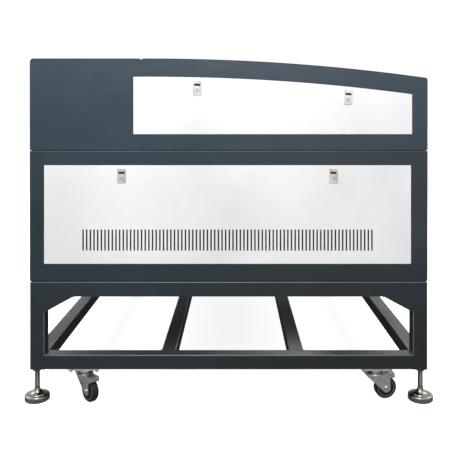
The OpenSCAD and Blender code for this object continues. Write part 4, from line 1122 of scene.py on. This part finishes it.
def bead(start, end):
    """Places for ripples along a corner line, each a little larger or smaller than the last."""
    start, end = Vector(start), Vector(end)
    count = max(2, round((end - start).length / ripple))
    along = (end - start).to_track_quat("X", "Z").to_matrix().to_4x4()
    places = []
    for i in range(count + 1):
        swell = 1 + 0.16 * math.sin(2.3 * i) + 0.10 * math.sin(5.1 * i + start.x * 40)
        places.append(Matrix.Translation(start.lerp(end, i / count)) @ along @ Matrix.Scale(swell, 4))
    return places


print(bead.__doc__)


# %% Weld beads on the stand
ripples = []
for sx, sy in corners:
    inner = Vector((sx * inner_x, sy * inner_y, rail_under))
    side, face = sx * (leg_high.x - gusset_face), sy * (leg_high.y - gusset_face)
    for z in (rail_top, rail_under):
        ripples += bead((sx * (inner_x + weld_in), inner.y, z), (sx * (leg_high.x - weld_out), inner.y, z))
        ripples += bead((inner.x, sy * (inner_y + weld_in), z), (inner.x, sy * (leg_high.y - weld_out), z))
    for edge in both_sides:
        y = floor_bars[(sy + 1) // 2] + edge * tube_w / 2
        ripples += bead((inner.x, y, leg_low.z + weld_in), (inner.x, y, rail_top - weld_in))
    for start, run in (((side, inner.y, rail_under), (0, -sy * gusset_along, 0)),
                       ((inner.x, face, rail_under), (-sx * gusset_along, 0, 0))):
        ripples += bead(start, Vector(start) + Vector(run))
        ripples += bead(start, Vector(start) - Vector((0, 0, gusset_down)))
drop_of_weld = added(bpy.ops.mesh.primitive_ico_sphere_add, subdivisions=2, radius=0.0030)
edit(drop_of_weld)
bpy.ops.mesh.select_all(action="SELECT")
bpy.ops.transform.resize(value=(1.15, 1.0, 0.9))
bpy.ops.object.mode_set(mode="OBJECT")
bpy.ops.object.shade_smooth()
settle(copies(drop_of_weld, ripples), "weld_beads", "machine", "stand_paint")
print("weld ripples", len(ripples))

# %% [markdown]
# ## The hood's curve
#
# The hood's top is level over its rear and then falls on one shallow arc towards the operator.
# Everything that lies on it has to follow. A Shrinkwrap modifier could pull it down, but the arc
# is known exactly: flat parts are tilted, and long ones are cut into short lengths whose corners
# drop by the arc's own formula.

# %% Places on the slope
hood_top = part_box("lid")[1].z
slope_start, slope_radius = 0.270, 6.8


def drop(y):
    """How far the hood's top has fallen at y."""
    run = max(0.0, slope_start - y)
    return slope_radius - math.sqrt(slope_radius ** 2 - run ** 2)


def on_slope(x, y):
    """The matrix that stands a piece made on Z on the hood's top at (x, y)."""
    tilt = math.asin(max(0.0, slope_start - y) / slope_radius)
    return moved(x, y, hood_top - drop(y)) @ Matrix.Rotation(tilt, 4, "X")


def follow_slope(piece, cuts=24):
    """Cuts piece into short lengths along Y and lowers each corner by the slope's fall."""
    low = min(v.co.y for v in piece.data.vertices)
    high = max(v.co.y for v in piece.data.vertices)
    cut_across(piece, "Y", [low + (high - low) * i / cuts for i in range(1, cuts)])
    for vertex in piece.data.vertices:
        vertex.co.z -= drop(vertex.co.y)
    return piece


# %% [markdown]
# ## Door seals
#
# Round each doorway runs a black rubber lip that the door closes against. It turns the gap round
# the door into the thin dark line that outlines it. It could be one swept curve, but three bars
# with round edges look the same behind a door. The lower edge has none, since the door's pins
# turn there.

# %% Bars of a seal
pin_reach = 0.0115
seal_front, seal_back, strut_side_back = 0.0125, 0.0155, 0.0143
seal_lap, seal_out = 0.0035, 0.0085
clear_of_pins = 0.024


def seal_bars(y0, z0, y1, z1, face, inward, back=seal_back):
    """The two uprights and the top bar of a seal, for a doorway in the plane x = face."""
    near, far = sorted((face + inward * seal_front, face + inward * back))
    bars = []
    for y, out in ((y0, -1), (y1, 1)):
        left, right = sorted((y - out * seal_lap, y + out * seal_out))
        bars.append(block((near, left, z0 + clear_of_pins), (far, right, z1 + seal_out)))
    bars.append(block((near, y0 + seal_lap, z1 - seal_lap), (far, y1 - seal_lap, z1 + seal_out)))
    return bars


def door_edges(node):
    """The lowest and highest y and z of a side door's sheet, without its pins."""
    low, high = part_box(node)
    return low.y + pin_reach, low.z, high.y - pin_reach, high.z


def rounded_seal(bars, radius, name):
    """The seal of some bars, with its edges rounded."""
    for bar in bars:
        round_edges(bar, radius)
    return settle(joined(bars), name, "machine", "seal_rubber")


print(seal_bars.__doc__)


# %% Seals of the straight doors
seals = seal_bars(*door_edges("lower_side_door"), door_face, 1)
seals += seal_bars(*door_edges("right_side_door"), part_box("right_side_door")[1].x, -1)
front_low, front_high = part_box("front_door")
front_bars = seal_bars(front_low.x + pin_reach, front_low.z, front_high.x - pin_reach,
                       front_high.z, 0, 1)
quarter_turn = math.pi / 2
onto_front = moved(0, front_low.y, 0) @ Matrix.Rotation(quarter_turn, 4, "Z")
for bar in front_bars:
    bar.data.transform(onto_front @ Matrix.Scale(-1, 4, (0, 1, 0)))
    bar.data.flip_normals()
rounded_seal(seals + front_bars, 0.0008, "door_seals")
print("straight seals", len(seals + front_bars), "bars")

# %% Seal of the curved door
y0, z0, y1, z1 = door_edges("upper_side_door")
upper_bars = seal_bars(y0, z0, y1, z1, door_face, 1, strut_side_back)
for bar in upper_bars[:2]:
    at = sum(v.co.y for v in bar.data.vertices) / len(bar.data.vertices)
    for vertex in bar.data.vertices:
        if vertex.co.z > z0 + clear_of_pins + skin:
            vertex.co.z -= drop(at)
follow_slope(upper_bars[2])
rounded_seal(upper_bars, 0.0006, "upper_door_seal")
print("curved seal from", round(y0, 3), "to", round(y1, 3))

# %% [markdown]
# ## The hem under the hood
#
# The top of each cabinet end is folded over into a narrow hem. Its pale coat, with wear in it, is
# a painted highlight, which shows as a fine pale line under the dark gap. The whole fold could be
# modelled, but only its edge is ever seen, so a bar with round edges, barely proud of the sheet,
# is enough.

# %% Hems
hem_h, hem_proud, hem_sunk, hem_end, hem_down = 0.0024, 0.0004, 0.0010, 0.002, 0.0004
# The hem's pale coat is a painted highlight.
hem_highlight_coat = powder_coat("slate_paint_hem_highlight", (0.085, 0.105, 0.125), 0.36, 0.9, 0.6)
hems = []
for node, side in (("cabinet_end_left", -1), ("cabinet_end_right", 1)):
    end_low, end_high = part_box(node)
    face = end_low.x if side < 0 else end_high.x
    inner, outer = sorted((face - side * hem_sunk, face + side * hem_proud))
    hem_top = end_high.z - hem_down
    hems.append(round_edges(block((inner, end_low.y + hem_end, hem_top - hem_h),
                                  (outer, end_high.y - hem_end, hem_top)), 0.0005))
settle(joined(hems), "cabinet_hems", "machine", "slate_paint", hem_highlight_coat)
print("hems", len(hems))

# %% [markdown]
# ## Screws
#
# The rear panels are held by pan-head screws with a crossed recess. At this size a cross could be
# painted on, but a real recess catches the light. The head is spun from an outline, and two thin
# blocks are cut out of it to make the cross. No two screws stop at the same turn.


# %% Pan-head screw
def pan_screw(diameter, height):
    """A pan head with a crossed recess, pointing along +Z."""
    r = diameter / 2
    head = turned([(0, -sink), (r, -sink), (r, height * 0.25), (r * 0.92, height * 0.65),
                   (r * 0.66, height * 0.93), (0, height)], 20)
    for turn in (0, quarter_turn):
        blade = block((-r * 0.62, -r * 0.12, height * 0.35), (r * 0.62, r * 0.12, height * 1.5))
        blade.data.transform(Matrix.Rotation(turn, 4, "Z"))
        cut(head, blade)
    return head


print(pan_screw.__doc__)


# %% Panel screws
rear_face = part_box("cabinet_rear")[1].y
screw_rows, screw_span, gaps = (0.427, 0.846, 0.876, 1.128), 0.880, 8
rear_screws = [facing((-screw_span + 2 * screw_span * i / gaps, rear_face, z), (0, 1, 0),
                      0.9 * i + z * 7)
               for z in screw_rows for i in range(gaps + 1)]
settle(copies(pan_screw(0.008, 0.0024), rear_screws), "rear_panel_screws", "machine", "zinc")

deck_gap, deck_margin = 0.0015, 0.022
deck_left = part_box("lid")[1].x + deck_gap
deck_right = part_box("control_deck")[1].x
deck_screws = [on_slope(x, y) @ Matrix.Rotation(x * 9 + y * 5, 4, "Z")
               for x in (deck_left + deck_margin, deck_right - deck_margin)
               for y in (-0.640, -0.410, -0.175, 0.060)]
settle(copies(pan_screw(0.007, 0.0022), deck_screws), "deck_screws", "machine", "zinc")
print("panel screws", len(rear_screws) + len(deck_screws))

# %% [markdown]
# ## The lid's window
#
# The brown acrylic sheet lies under the lid, and a black rubber frame covers the edge of the
# opening. One frame with a hole would bend badly over the curve, so the frame is four strips that
# follow it, with screws just outside.

# %% Rubber frame of the window
window_low, window_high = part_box("lid_window")
frame_half, frame_up, frame_sunk, under_lid = 0.007, 0.0016, 0.001, 0.015
wx0, wx1 = window_low.x + under_lid, window_high.x - under_lid
wy0, wy1 = window_low.y + under_lid, window_high.y - under_lid
bottom, top = hood_top - frame_sunk, hood_top + frame_up
long_strips = [block((x - frame_half, wy0 - frame_half, bottom), (x + frame_half, wy1 + frame_half, top))
               for x in (wx0, wx1)]
cross_strips = [block((wx0 + frame_half, y - frame_half, bottom), (wx1 - frame_half, y + frame_half, top))
                for y in (wy0, wy1)]
for strips, cuts in ((long_strips, 20), (cross_strips, 2)):
    for strip in strips:
        round_edges(follow_slope(strip, cuts), 0.0005)
settle(joined(long_strips + cross_strips), "window_frame", "lid", "seal_rubber")
print("window", round(wx1 - wx0, 3), "by", round(wy1 - wy0, 3))

# %% Screws round the window
screw_out, end_gap, side_gap = 0.016, 0.05, 0.07
window_screws = []
for i in range(8):
    x = wx0 + end_gap + (wx1 - wx0 - 2 * end_gap) * i / 7
    window_screws += [on_slope(x, y) @ Matrix.Rotation(i * 0.8, 4, "Z")
                      for y in (wy0 - screw_out, wy1 + screw_out)]
for i in range(4):
    y = wy0 + side_gap + (wy1 - wy0 - 2 * side_gap) * i / 3
    window_screws += [on_slope(x, y) @ Matrix.Rotation(i * 0.5, 4, "Z")
                      for x in (wx0 - screw_out, wx1 + screw_out)]
settle(copies(pan_screw(0.0065, 0.0020), window_screws), "window_screws", "lid", "zinc")
print("window screws", len(window_screws))

# %% [markdown]
# ## The operator's panel
#
# To the right of the lid the operator finds a screen with a keypad, a stop button and a key
# switch. A picture of a screen would be flat, so the screen is a sheet of dark glass under a thin
# frame, and each key is a low pad with soft edges. The keys carry no signs. One pad is modelled
# and copied, and the stop button's yellow ring and the key's collar are spun.

# %% Finishes of the panel
screen_glass = grained("screen_glass", (0.010, 0.020, 0.034), 0.07, 200, 0.000002)
key_grey = grained("key_grey", (0.23, 0.24, 0.25), 0.5)
stop_yellow = grained("stop_yellow", (0.80, 0.52, 0.015), 0.4, 400, 0.00002)
panel_x, panel_y, panel_top = 0.775, -0.380, 0.005
on_panel = on_slope(panel_x, panel_y)
print("panel at", [round(v, 4) for v in on_panel.translation])

# %% Screen and its frame
screen = round_edges(block((-0.0805, -0.0295, 0.0036), (0.0135, 0.0555, 0.0046)), 0.0002, 1)
settle(screen, "screen_glass", "machine", "glass", screen_glass, on_panel)
frame_out = block((-0.0850, -0.0340, panel_top - 0.0010), (0.0180, 0.0600, panel_top + 0.0012))
frame_hole = block((-0.0785, -0.0275, 0), (0.0115, 0.0535, 0.02))
screen_frame = round_edges(cut(frame_out, frame_hole), 0.0005)
settle(screen_frame, "screen_frame", "machine", "black_plastic", at=on_panel)
print("screen frame faces", len(screen_frame.data.polygons))


# %% Keys
def key_pad(width=0.0175, length=0.0140):
    """A low pad with a soft rim and a shallow dish for the finger, standing on Z = 0."""
    pad = block((-width / 2, -length / 2, -0.0005), (width / 2, length / 2, 0.0016))
    recess(pad, (0, 0, 1), 0.0018, 0.0003)
    return round_edges(pad, 0.0007, 2, 20)


grid_x = (0.033, 0.055, 0.077)
grid_y = [-0.050 + 0.0200 * row for row in range(6)]
row_x = (-0.074, -0.050, -0.026, -0.002)
key_at = [(x, y) for y in grid_y for x in grid_x] + [(x, grid_y[0]) for x in row_x]
key_places = [on_panel @ moved(x, y, panel_top) for x, y in key_at]
settle(copies(key_pad(), key_places), "keys", "machine", "black_plastic", key_grey)
print("keys", len(key_places))

# %% Rings of the stop button and the key
stop_place, key_place = on_slope(0.835, -0.550), on_slope(0.715, -0.550)
stop_ring = turned([(0.0140, -sink), (0.0295, -sink), (0.0300, 0.0004), (0.0300, 0.0014),
                    (0.0292, 0.0022), (0.0150, 0.0022), (0.0140, 0.0014), (0.0140, -sink)], 48)
stop_collar = turned([(0.0132, 0), (0.0182, 0), (0.0182, 0.0050), (0.0174, 0.0058),
                      (0.0132, 0.0058), (0.0132, 0)], 40)
key_collar = turned([(0.0112, -sink), (0.0150, -sink), (0.0150, 0.0018), (0.0140, 0.0028),
                     (0.0112, 0.0028), (0.0112, -sink)], 40)
settle(stop_ring, "stop_ring", "machine", "black_plastic", stop_yellow, stop_place)
settle(stop_collar, "stop_collar", "machine", "black_plastic", at=stop_place)
settle(key_collar, "key_collar", "machine", "zinc", at=key_place)
print("stop button at", [round(v, 4) for v in stop_place.translation])

# %% The key's bow
bow_up = 0.0295
bow_hole = turned([(0, -0.01), (0.0048, -0.01), (0.0048, 0.01), (0, 0.01)], 24)
bow_hole.data.transform(key_place @ moved(0, 0, bow_up) @ Matrix.Rotation(quarter_turn, 4, "Y"))
key_copy = round_edges(cut(merged_copy("key_switch"), bow_hole), 0.0004)
key_copy.data.materials.clear()
key_copy.data.materials.append(zinc)
stands_for(key_copy, "key_switch")
print("key faces", len(key_copy.data.polygons))

# %% [markdown]
# ## The laser tube
#
# A carbon dioxide tube is three glass tubes in one: the wide outer one holds the gas, a narrow
# one inside it carries the discharge, and a water jacket lies round that. A coiled pipe leads the
# gas back. A solid rod of glass would bend the light like a lens. So each tube is spun as a
# closed wall with its real thickness, and the light meets both of its sides.


# %% Glass walls
def glass_wall(outline, wall, steps):
    """A spun glass tube whose inner wall follows the outer one at a distance."""
    inner = [(r - wall, z) for r, z in reversed(outline)]
    return turned(outline + inner + [outline[0]], steps)


tube_low, tube_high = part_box("laser_tube")
tube_length = tube_high.x - tube_low.x
tube_r = (tube_high.z - tube_low.z) / 2
tube_y, tube_z = (tube_low.y + tube_high.y) / 2, (tube_low.z + tube_high.z) / 2
neck_r, tip_r = 0.018, 0.009
along_tube = moved(tube_low.x, tube_y, tube_z) @ Matrix.Rotation(quarter_turn, 4, "Y")
shoulder = 0.060
envelope = [(neck_r, 0.024), (neck_r, shoulder), (neck_r + 0.010, shoulder + 0.004),
            (tube_r - 0.0045, shoulder + 0.007), (tube_r - 0.0002, shoulder + 0.013)]
envelope += [(r, tube_length - z) for r, z in reversed(envelope)]
jacket = [(0.0110, 0.110), (0.0200, 0.118), (0.0200, tube_length - 0.118), (0.0110, tube_length - 0.110)]
discharge = [(0.0090, 0.075), (0.0090, tube_length - 0.075)]
for name, outline, wall, steps in (("tube_envelope", envelope, 0.0022, 48),
                                   ("tube_discharge", discharge, 0.0015, 24),
                                   ("tube_jacket", jacket, 0.0015, 32)):
    glass = glass_wall(outline, wall, steps)
    settle(glass, name, "machine", "glass", at=along_tube)
    if name == "tube_envelope":
        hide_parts("laser_tube")
print("laser tube", round(tube_length, 3), "m long")

# %% Coiled return pipe
coil_r, coil_pipe_r, coil_pitch, coil_start = 0.0275, 0.0028, 0.062, 0.150
coil_turns = int((tube_length - 2 * coil_start) / coil_pitch)
coil = added(bpy.ops.mesh.primitive_circle_add, vertices=10, radius=coil_pipe_r,
             location=(coil_r, 0, 0), rotation=(quarter_turn, 0, 0))
bpy.ops.object.transform_apply(location=True, rotation=True, scale=True)
even_shading(wound(coil, coil_pitch, coil_turns, 28), 40)
settle(coil, "tube_coil", "machine", "glass", at=along_tube @ moved(0, 0, coil_start))
print("coil turns", coil_turns)

# %% End fittings and electrodes
brass = plated("brass", (0.72, 0.52, 0.22), 0.25)
fitting = [(0, 0), (tip_r - 0.001, 0), (tip_r, 0.001), (tip_r, 0.010), (neck_r - 0.0015, 0.012),
           (neck_r - 0.0004, 0.0135), (neck_r - 0.0004, 0.024), (neck_r - 0.0035, 0.0255), (0, 0.0255)]
electrode = [(0.0100, 0.034), (0.0130, 0.034), (0.0130, 0.066), (0.0120, 0.068), (0.0100, 0.068),
             (0.0100, 0.034)]
tube_ends = [along_tube, along_tube @ moved(0, 0, tube_length) @ Matrix.Rotation(math.pi, 4, "X")]
settle(copies(turned(fitting, 40), tube_ends), "tube_end_fittings", "machine", "zinc", brass)
settle(copies(turned(electrode, 32), tube_ends), "tube_electrodes", "machine", "dark_steel")
print("ends of the tube", len(tube_ends))

# %% [markdown]
# ## Mirrors and the cutting head
#
# Two mirrors turn the beam by a right angle each, and a third sits over the lens. Behind a
# mirror's plate are three knurled screws that tilt it. Knurling could be bump, but the notches
# show at the head's edge, so they are cut. The cutting head gets its cap screws, and a sliver of
# polished metal becomes a mirror's face.


# %% Mirror faces and adjusting screws
def knurled_screw(radius=0.0042, length=0.009, teeth=14):
    """A round head with notches round it, on a short stem, pointing along +Z."""
    head = turned([(0, 0), (0.0018, 0), (0.0018, 0.003), (radius - 0.0004, 0.003),
                   (radius, 0.0036), (radius, length - 0.0006), (radius - 0.0006, length),
                   (0.0016, length), (0.0014, length - 0.0012), (0, length - 0.0012)], 28)
    notch = block((radius - 0.0005, -0.00022, 0.0033), (radius + 0.002, 0.00022, length + 0.001))
    return cut(head, copies(notch, [Matrix.Rotation(math.tau * i / teeth, 4, "Z") for i in range(teeth)]))


mirror_finish = plated("mirror_face", (0.93, 0.92, 0.90), 0.05)
half_t, disc_front, disc_r, knob_out = 0.005, 0.0110, 0.0125, 0.012
mirror_x = -0.850
mirrors = {"first_mirror": (tube_y, "machine"), "second_mirror": (0.288, body_of["gantry_beam"])}
for name, (y, body) in mirrors.items():
    plate = moved(mirror_x, y, tube_z) @ Matrix.Rotation(math.pi / 4, 4, "Z")
    face = turned([(0, 0), (disc_r, 0), (disc_r, 0.0004), (0, 0.0004)], 40)
    settle(face, name + "_face", body, "aluminium", mirror_finish,
           plate @ facing((disc_front, 0, 0), (1, 0, 0)))
    knobs = [plate @ facing((-half_t, dy * knob_out, dz * knob_out), (-1, 0, 0))
             for dy, dz in ((-1, 1), (1, 1), (-1, -1))]
    settle(copies(knurled_screw(), knobs), name + "_screws", body, "zinc", brass)
print("mirrors", list(mirrors))


# %% Cap screws of the head
def cap_screw(radius=0.0035, height=0.0035):
    """A round head with a six-sided socket, pointing along +Z."""
    head = turned([(0, -sink), (radius, -sink), (radius, height - 0.0004),
                   (radius - 0.0004, height), (0, height)], 24)
    return cut(head, added(bpy.ops.mesh.primitive_cylinder_add, vertices=6, radius=radius * 0.55,
                           depth=height * 1.2, location=(0, 0, height)))


head_low, head_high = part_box("carriage")
head_mid, head_face_y = (head_low.x + head_high.x) / 2, 0.3095
screw_x, screw_z = 0.036, (0.984, 1.046)
head_screws = [facing((head_mid + side * screw_x, head_face_y, z), (0, -1, 0))
               for side in both_sides for z in screw_z]
settle(copies(cap_screw(), head_screws), "head_screws", body_of["carriage"], "dark_steel")
print("head screws", len(head_screws))

# %% Grip of the lens tube
lens_low, lens_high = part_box("lens_tube")
lens_mid = (lens_low + lens_high) / 2
lens_r = (lens_high.x - lens_low.x) / 2
grip_up, grip_pitch = 0.0235, 0.0028
grip = turned([(lens_r - 0.0005, -0.0006), (lens_r + 0.0008, -0.0004), (lens_r + 0.0008, 0.0004),
               (lens_r - 0.0005, 0.0006), (lens_r - 0.0005, -0.0006)], 40)
grip_rings = [moved(lens_mid.x, lens_mid.y, lens_low.z + grip_up + grip_pitch * i) for i in range(6)]
settle(copies(grip, grip_rings), "lens_grip", body_of["lens_tube"], "zinc")
print("grip rings", len(grip_rings))

# %% [markdown]
# ## Electrics
#
# Behind the right door stand three motor drivers, the controller and the high-voltage supply.
# Drivers have cooling fins and a row of screw terminals, and the supply has a fan behind a wire
# grille. An Array modifier could make a row, but the rows differ, so the terminals are one small
# block with a sunk screw, copied by a list of places.

# %% Fins of the drivers
bay_low, bay_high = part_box("electrics")
driver_w, driver_gap, driver_l, driver_top = 0.050, 0.020, 0.120, bay_low.z + 0.090
driver_x = [bay_low.x + i * (driver_w + driver_gap) for i in range(3)]
fin_in, fin_pitch = 0.007, 0.006
fins = [moved(x + fin_in + fin_pitch * i, bay_low.y + driver_l / 2, driver_top)
        for x in driver_x for i in range(7)]
fin = round_edges(block((-0.0009, -0.056, -0.0005), (0.0009, 0.056, 0.0070)), 0.0004, 1)
settle(copies(fin, fins), "driver_fins", "machine", "dark_steel")
print("fins", len(fins))


# %% Terminals
def terminal(width=0.0052, length=0.008, height=0.010):
    """One screw terminal looking along -Y: a block with a wire hole and a sunk screw on top."""
    piece = block((-width / 2, -length, 0), (width / 2, 0, height))
    recess(piece, (0, -1, 0), 0.0010, 0.0030)
    return recess(piece, (0, 0, 1), 0.0009, 0.0012)


terminal_green = grained("terminal_green", (0.02, 0.17, 0.07), 0.45)
control_y, control_top = bay_low.y + driver_l + 0.060, bay_low.z + 0.060
rows = [moved(x + 0.0068 + 0.0052 * i, bay_low.y + sink, driver_top - 0.018)
        for x in driver_x for i in range(8)]
rows += [moved(bay_low.x + 0.018 + 0.0054 * i, control_y + sink, control_top - 0.020)
         for i in range(34)]
settle(copies(terminal(), rows), "terminals", "machine", "black_plastic", terminal_green)
print("terminals", len(rows))

# %% Shroud of the supply's fan
fan_r = 0.054
fan_place = facing((bay_low.x + 0.180, bay_high.y - 0.240, bay_low.z + 0.095), (1, 0, 0))
shroud = turned([(0.015, -sink), (fan_r + 0.004, -sink), (fan_r + 0.004, 0.0018),
                 (fan_r + 0.002, 0.0024), (fan_r, 0.0024), (fan_r - 0.002, 0.0006),
                 (0.020, 0.0006), (0.018, 0.0042), (0.0170, 0.0048), (0, 0.0048), (0, 0.004)], 48)
settle(shroud, "fan_shroud", "machine", "black_plastic", at=fan_place)
print("fan at", [round(v, 3) for v in fan_place.translation])

# %% Wire grille of the fan
ring_radii = (0.014, 0.024, 0.034, 0.044, 0.053)
grille_up, stud_out = 0.0085, 0.001
quarters = [Matrix.Rotation(math.tau * (i + 0.5) / 4, 4, "Z") for i in range(4)]
wires = [added(bpy.ops.mesh.primitive_torus_add, major_radius=radius, minor_radius=0.0010,
               major_segments=48, minor_segments=8) for radius in ring_radii]
for quarter in quarters:
    spoke = block((0.010, -0.0009, -0.0022), (fan_r + 0.003, 0.0009, -0.0006))
    spoke.data.transform(quarter)
    wires.append(round_edges(spoke, 0.0006, 2))
grille = joined(wires)
even_shading(grille, 60)
settle(grille, "fan_grille", "machine", "zinc", at=fan_place @ moved(0, 0, grille_up))
stud = turned([(0, 0), (0.0022, 0), (0.0022, 0.0078), (0.0040, 0.0082), (0.0036, 0.0100), (0, 0.0104)], 20)
studs = [fan_place @ quarter @ moved(fan_r + stud_out, 0, 0) for quarter in quarters]
settle(copies(stud, studs), "grille_studs", "machine", "zinc")
print("grille wires", len(wires))

# %% [markdown]
# ## Connections at the rear
#
# Mains comes in through a socket with three pins, and water and air through barbed nipples on
# the lower rear panel. The machine stands here without its cord and hoses. A socket with a hole
# cut through would let one see inside the cabinet, so it is a block whose mouth is inset and
# sunk. A nipple is one spun outline with three barbs.

# %% Mains socket
socket_at = Vector((0.780, rear_face, 0.500))
plate = recess(block((-0.0260, -sink, -0.0190), (0.0260, 0.0032, 0.0190)), (0, 1, 0), 0.0060, 0.0026)
shell = recess(block((-0.0150, sink, -0.0105), (0.0150, 0.0068, 0.0105)), (0, 1, 0), 0.0013, 0.0060)
socket = joined([round_edges(plate, 0.0005), round_edges(shell, 0.0004)])
settle(socket, "mains_socket", "machine", "black_plastic", at=moved(*socket_at))
pin = round_edges(block((-0.0010, 0.0006, -0.0024), (0.0010, 0.0056, 0.0024)), 0.0003, 1)
pins = [moved(*(socket_at + Vector((dx, 0, dz))))
        for dx, dz in ((-0.0070, -0.002), (0, 0.003), (0.0070, -0.002))]
settle(copies(pin, pins), "socket_pins", "machine", "zinc")
socket_screws = [facing(socket_at + Vector((dx, 0.0030, 0)), (0, 1, 0)) for dx in (-0.0215, 0.0215)]
settle(copies(pan_screw(0.006, 0.0018), socket_screws), "socket_screws", "machine", "zinc")
print("socket pins", len(pins))

# %% Hose nipples
nipple = turned([(0, -sink), (0.0095, -sink), (0.0095, 0.0045), (0.0055, 0.0050),
                 (0.0050, 0.0060), (0.0058, 0.0062), (0.0046, 0.0092), (0.0057, 0.0094),
                 (0.0046, 0.0124), (0.0056, 0.0126), (0.0042, 0.0162), (0.0026, 0.0162),
                 (0.0026, 0.0080), (0, 0.0080)], 28)
nipples = [facing((x, rear_face, socket_at.z), (0, 1, 0)) for x in (0.620, 0.660, 0.700)]
settle(copies(nipple, nipples), "hose_nipples", "machine", "zinc", brass)
print("nipples", len(nipples))

low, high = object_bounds()
print("visual size", [round(v, 4) for v in high - low])
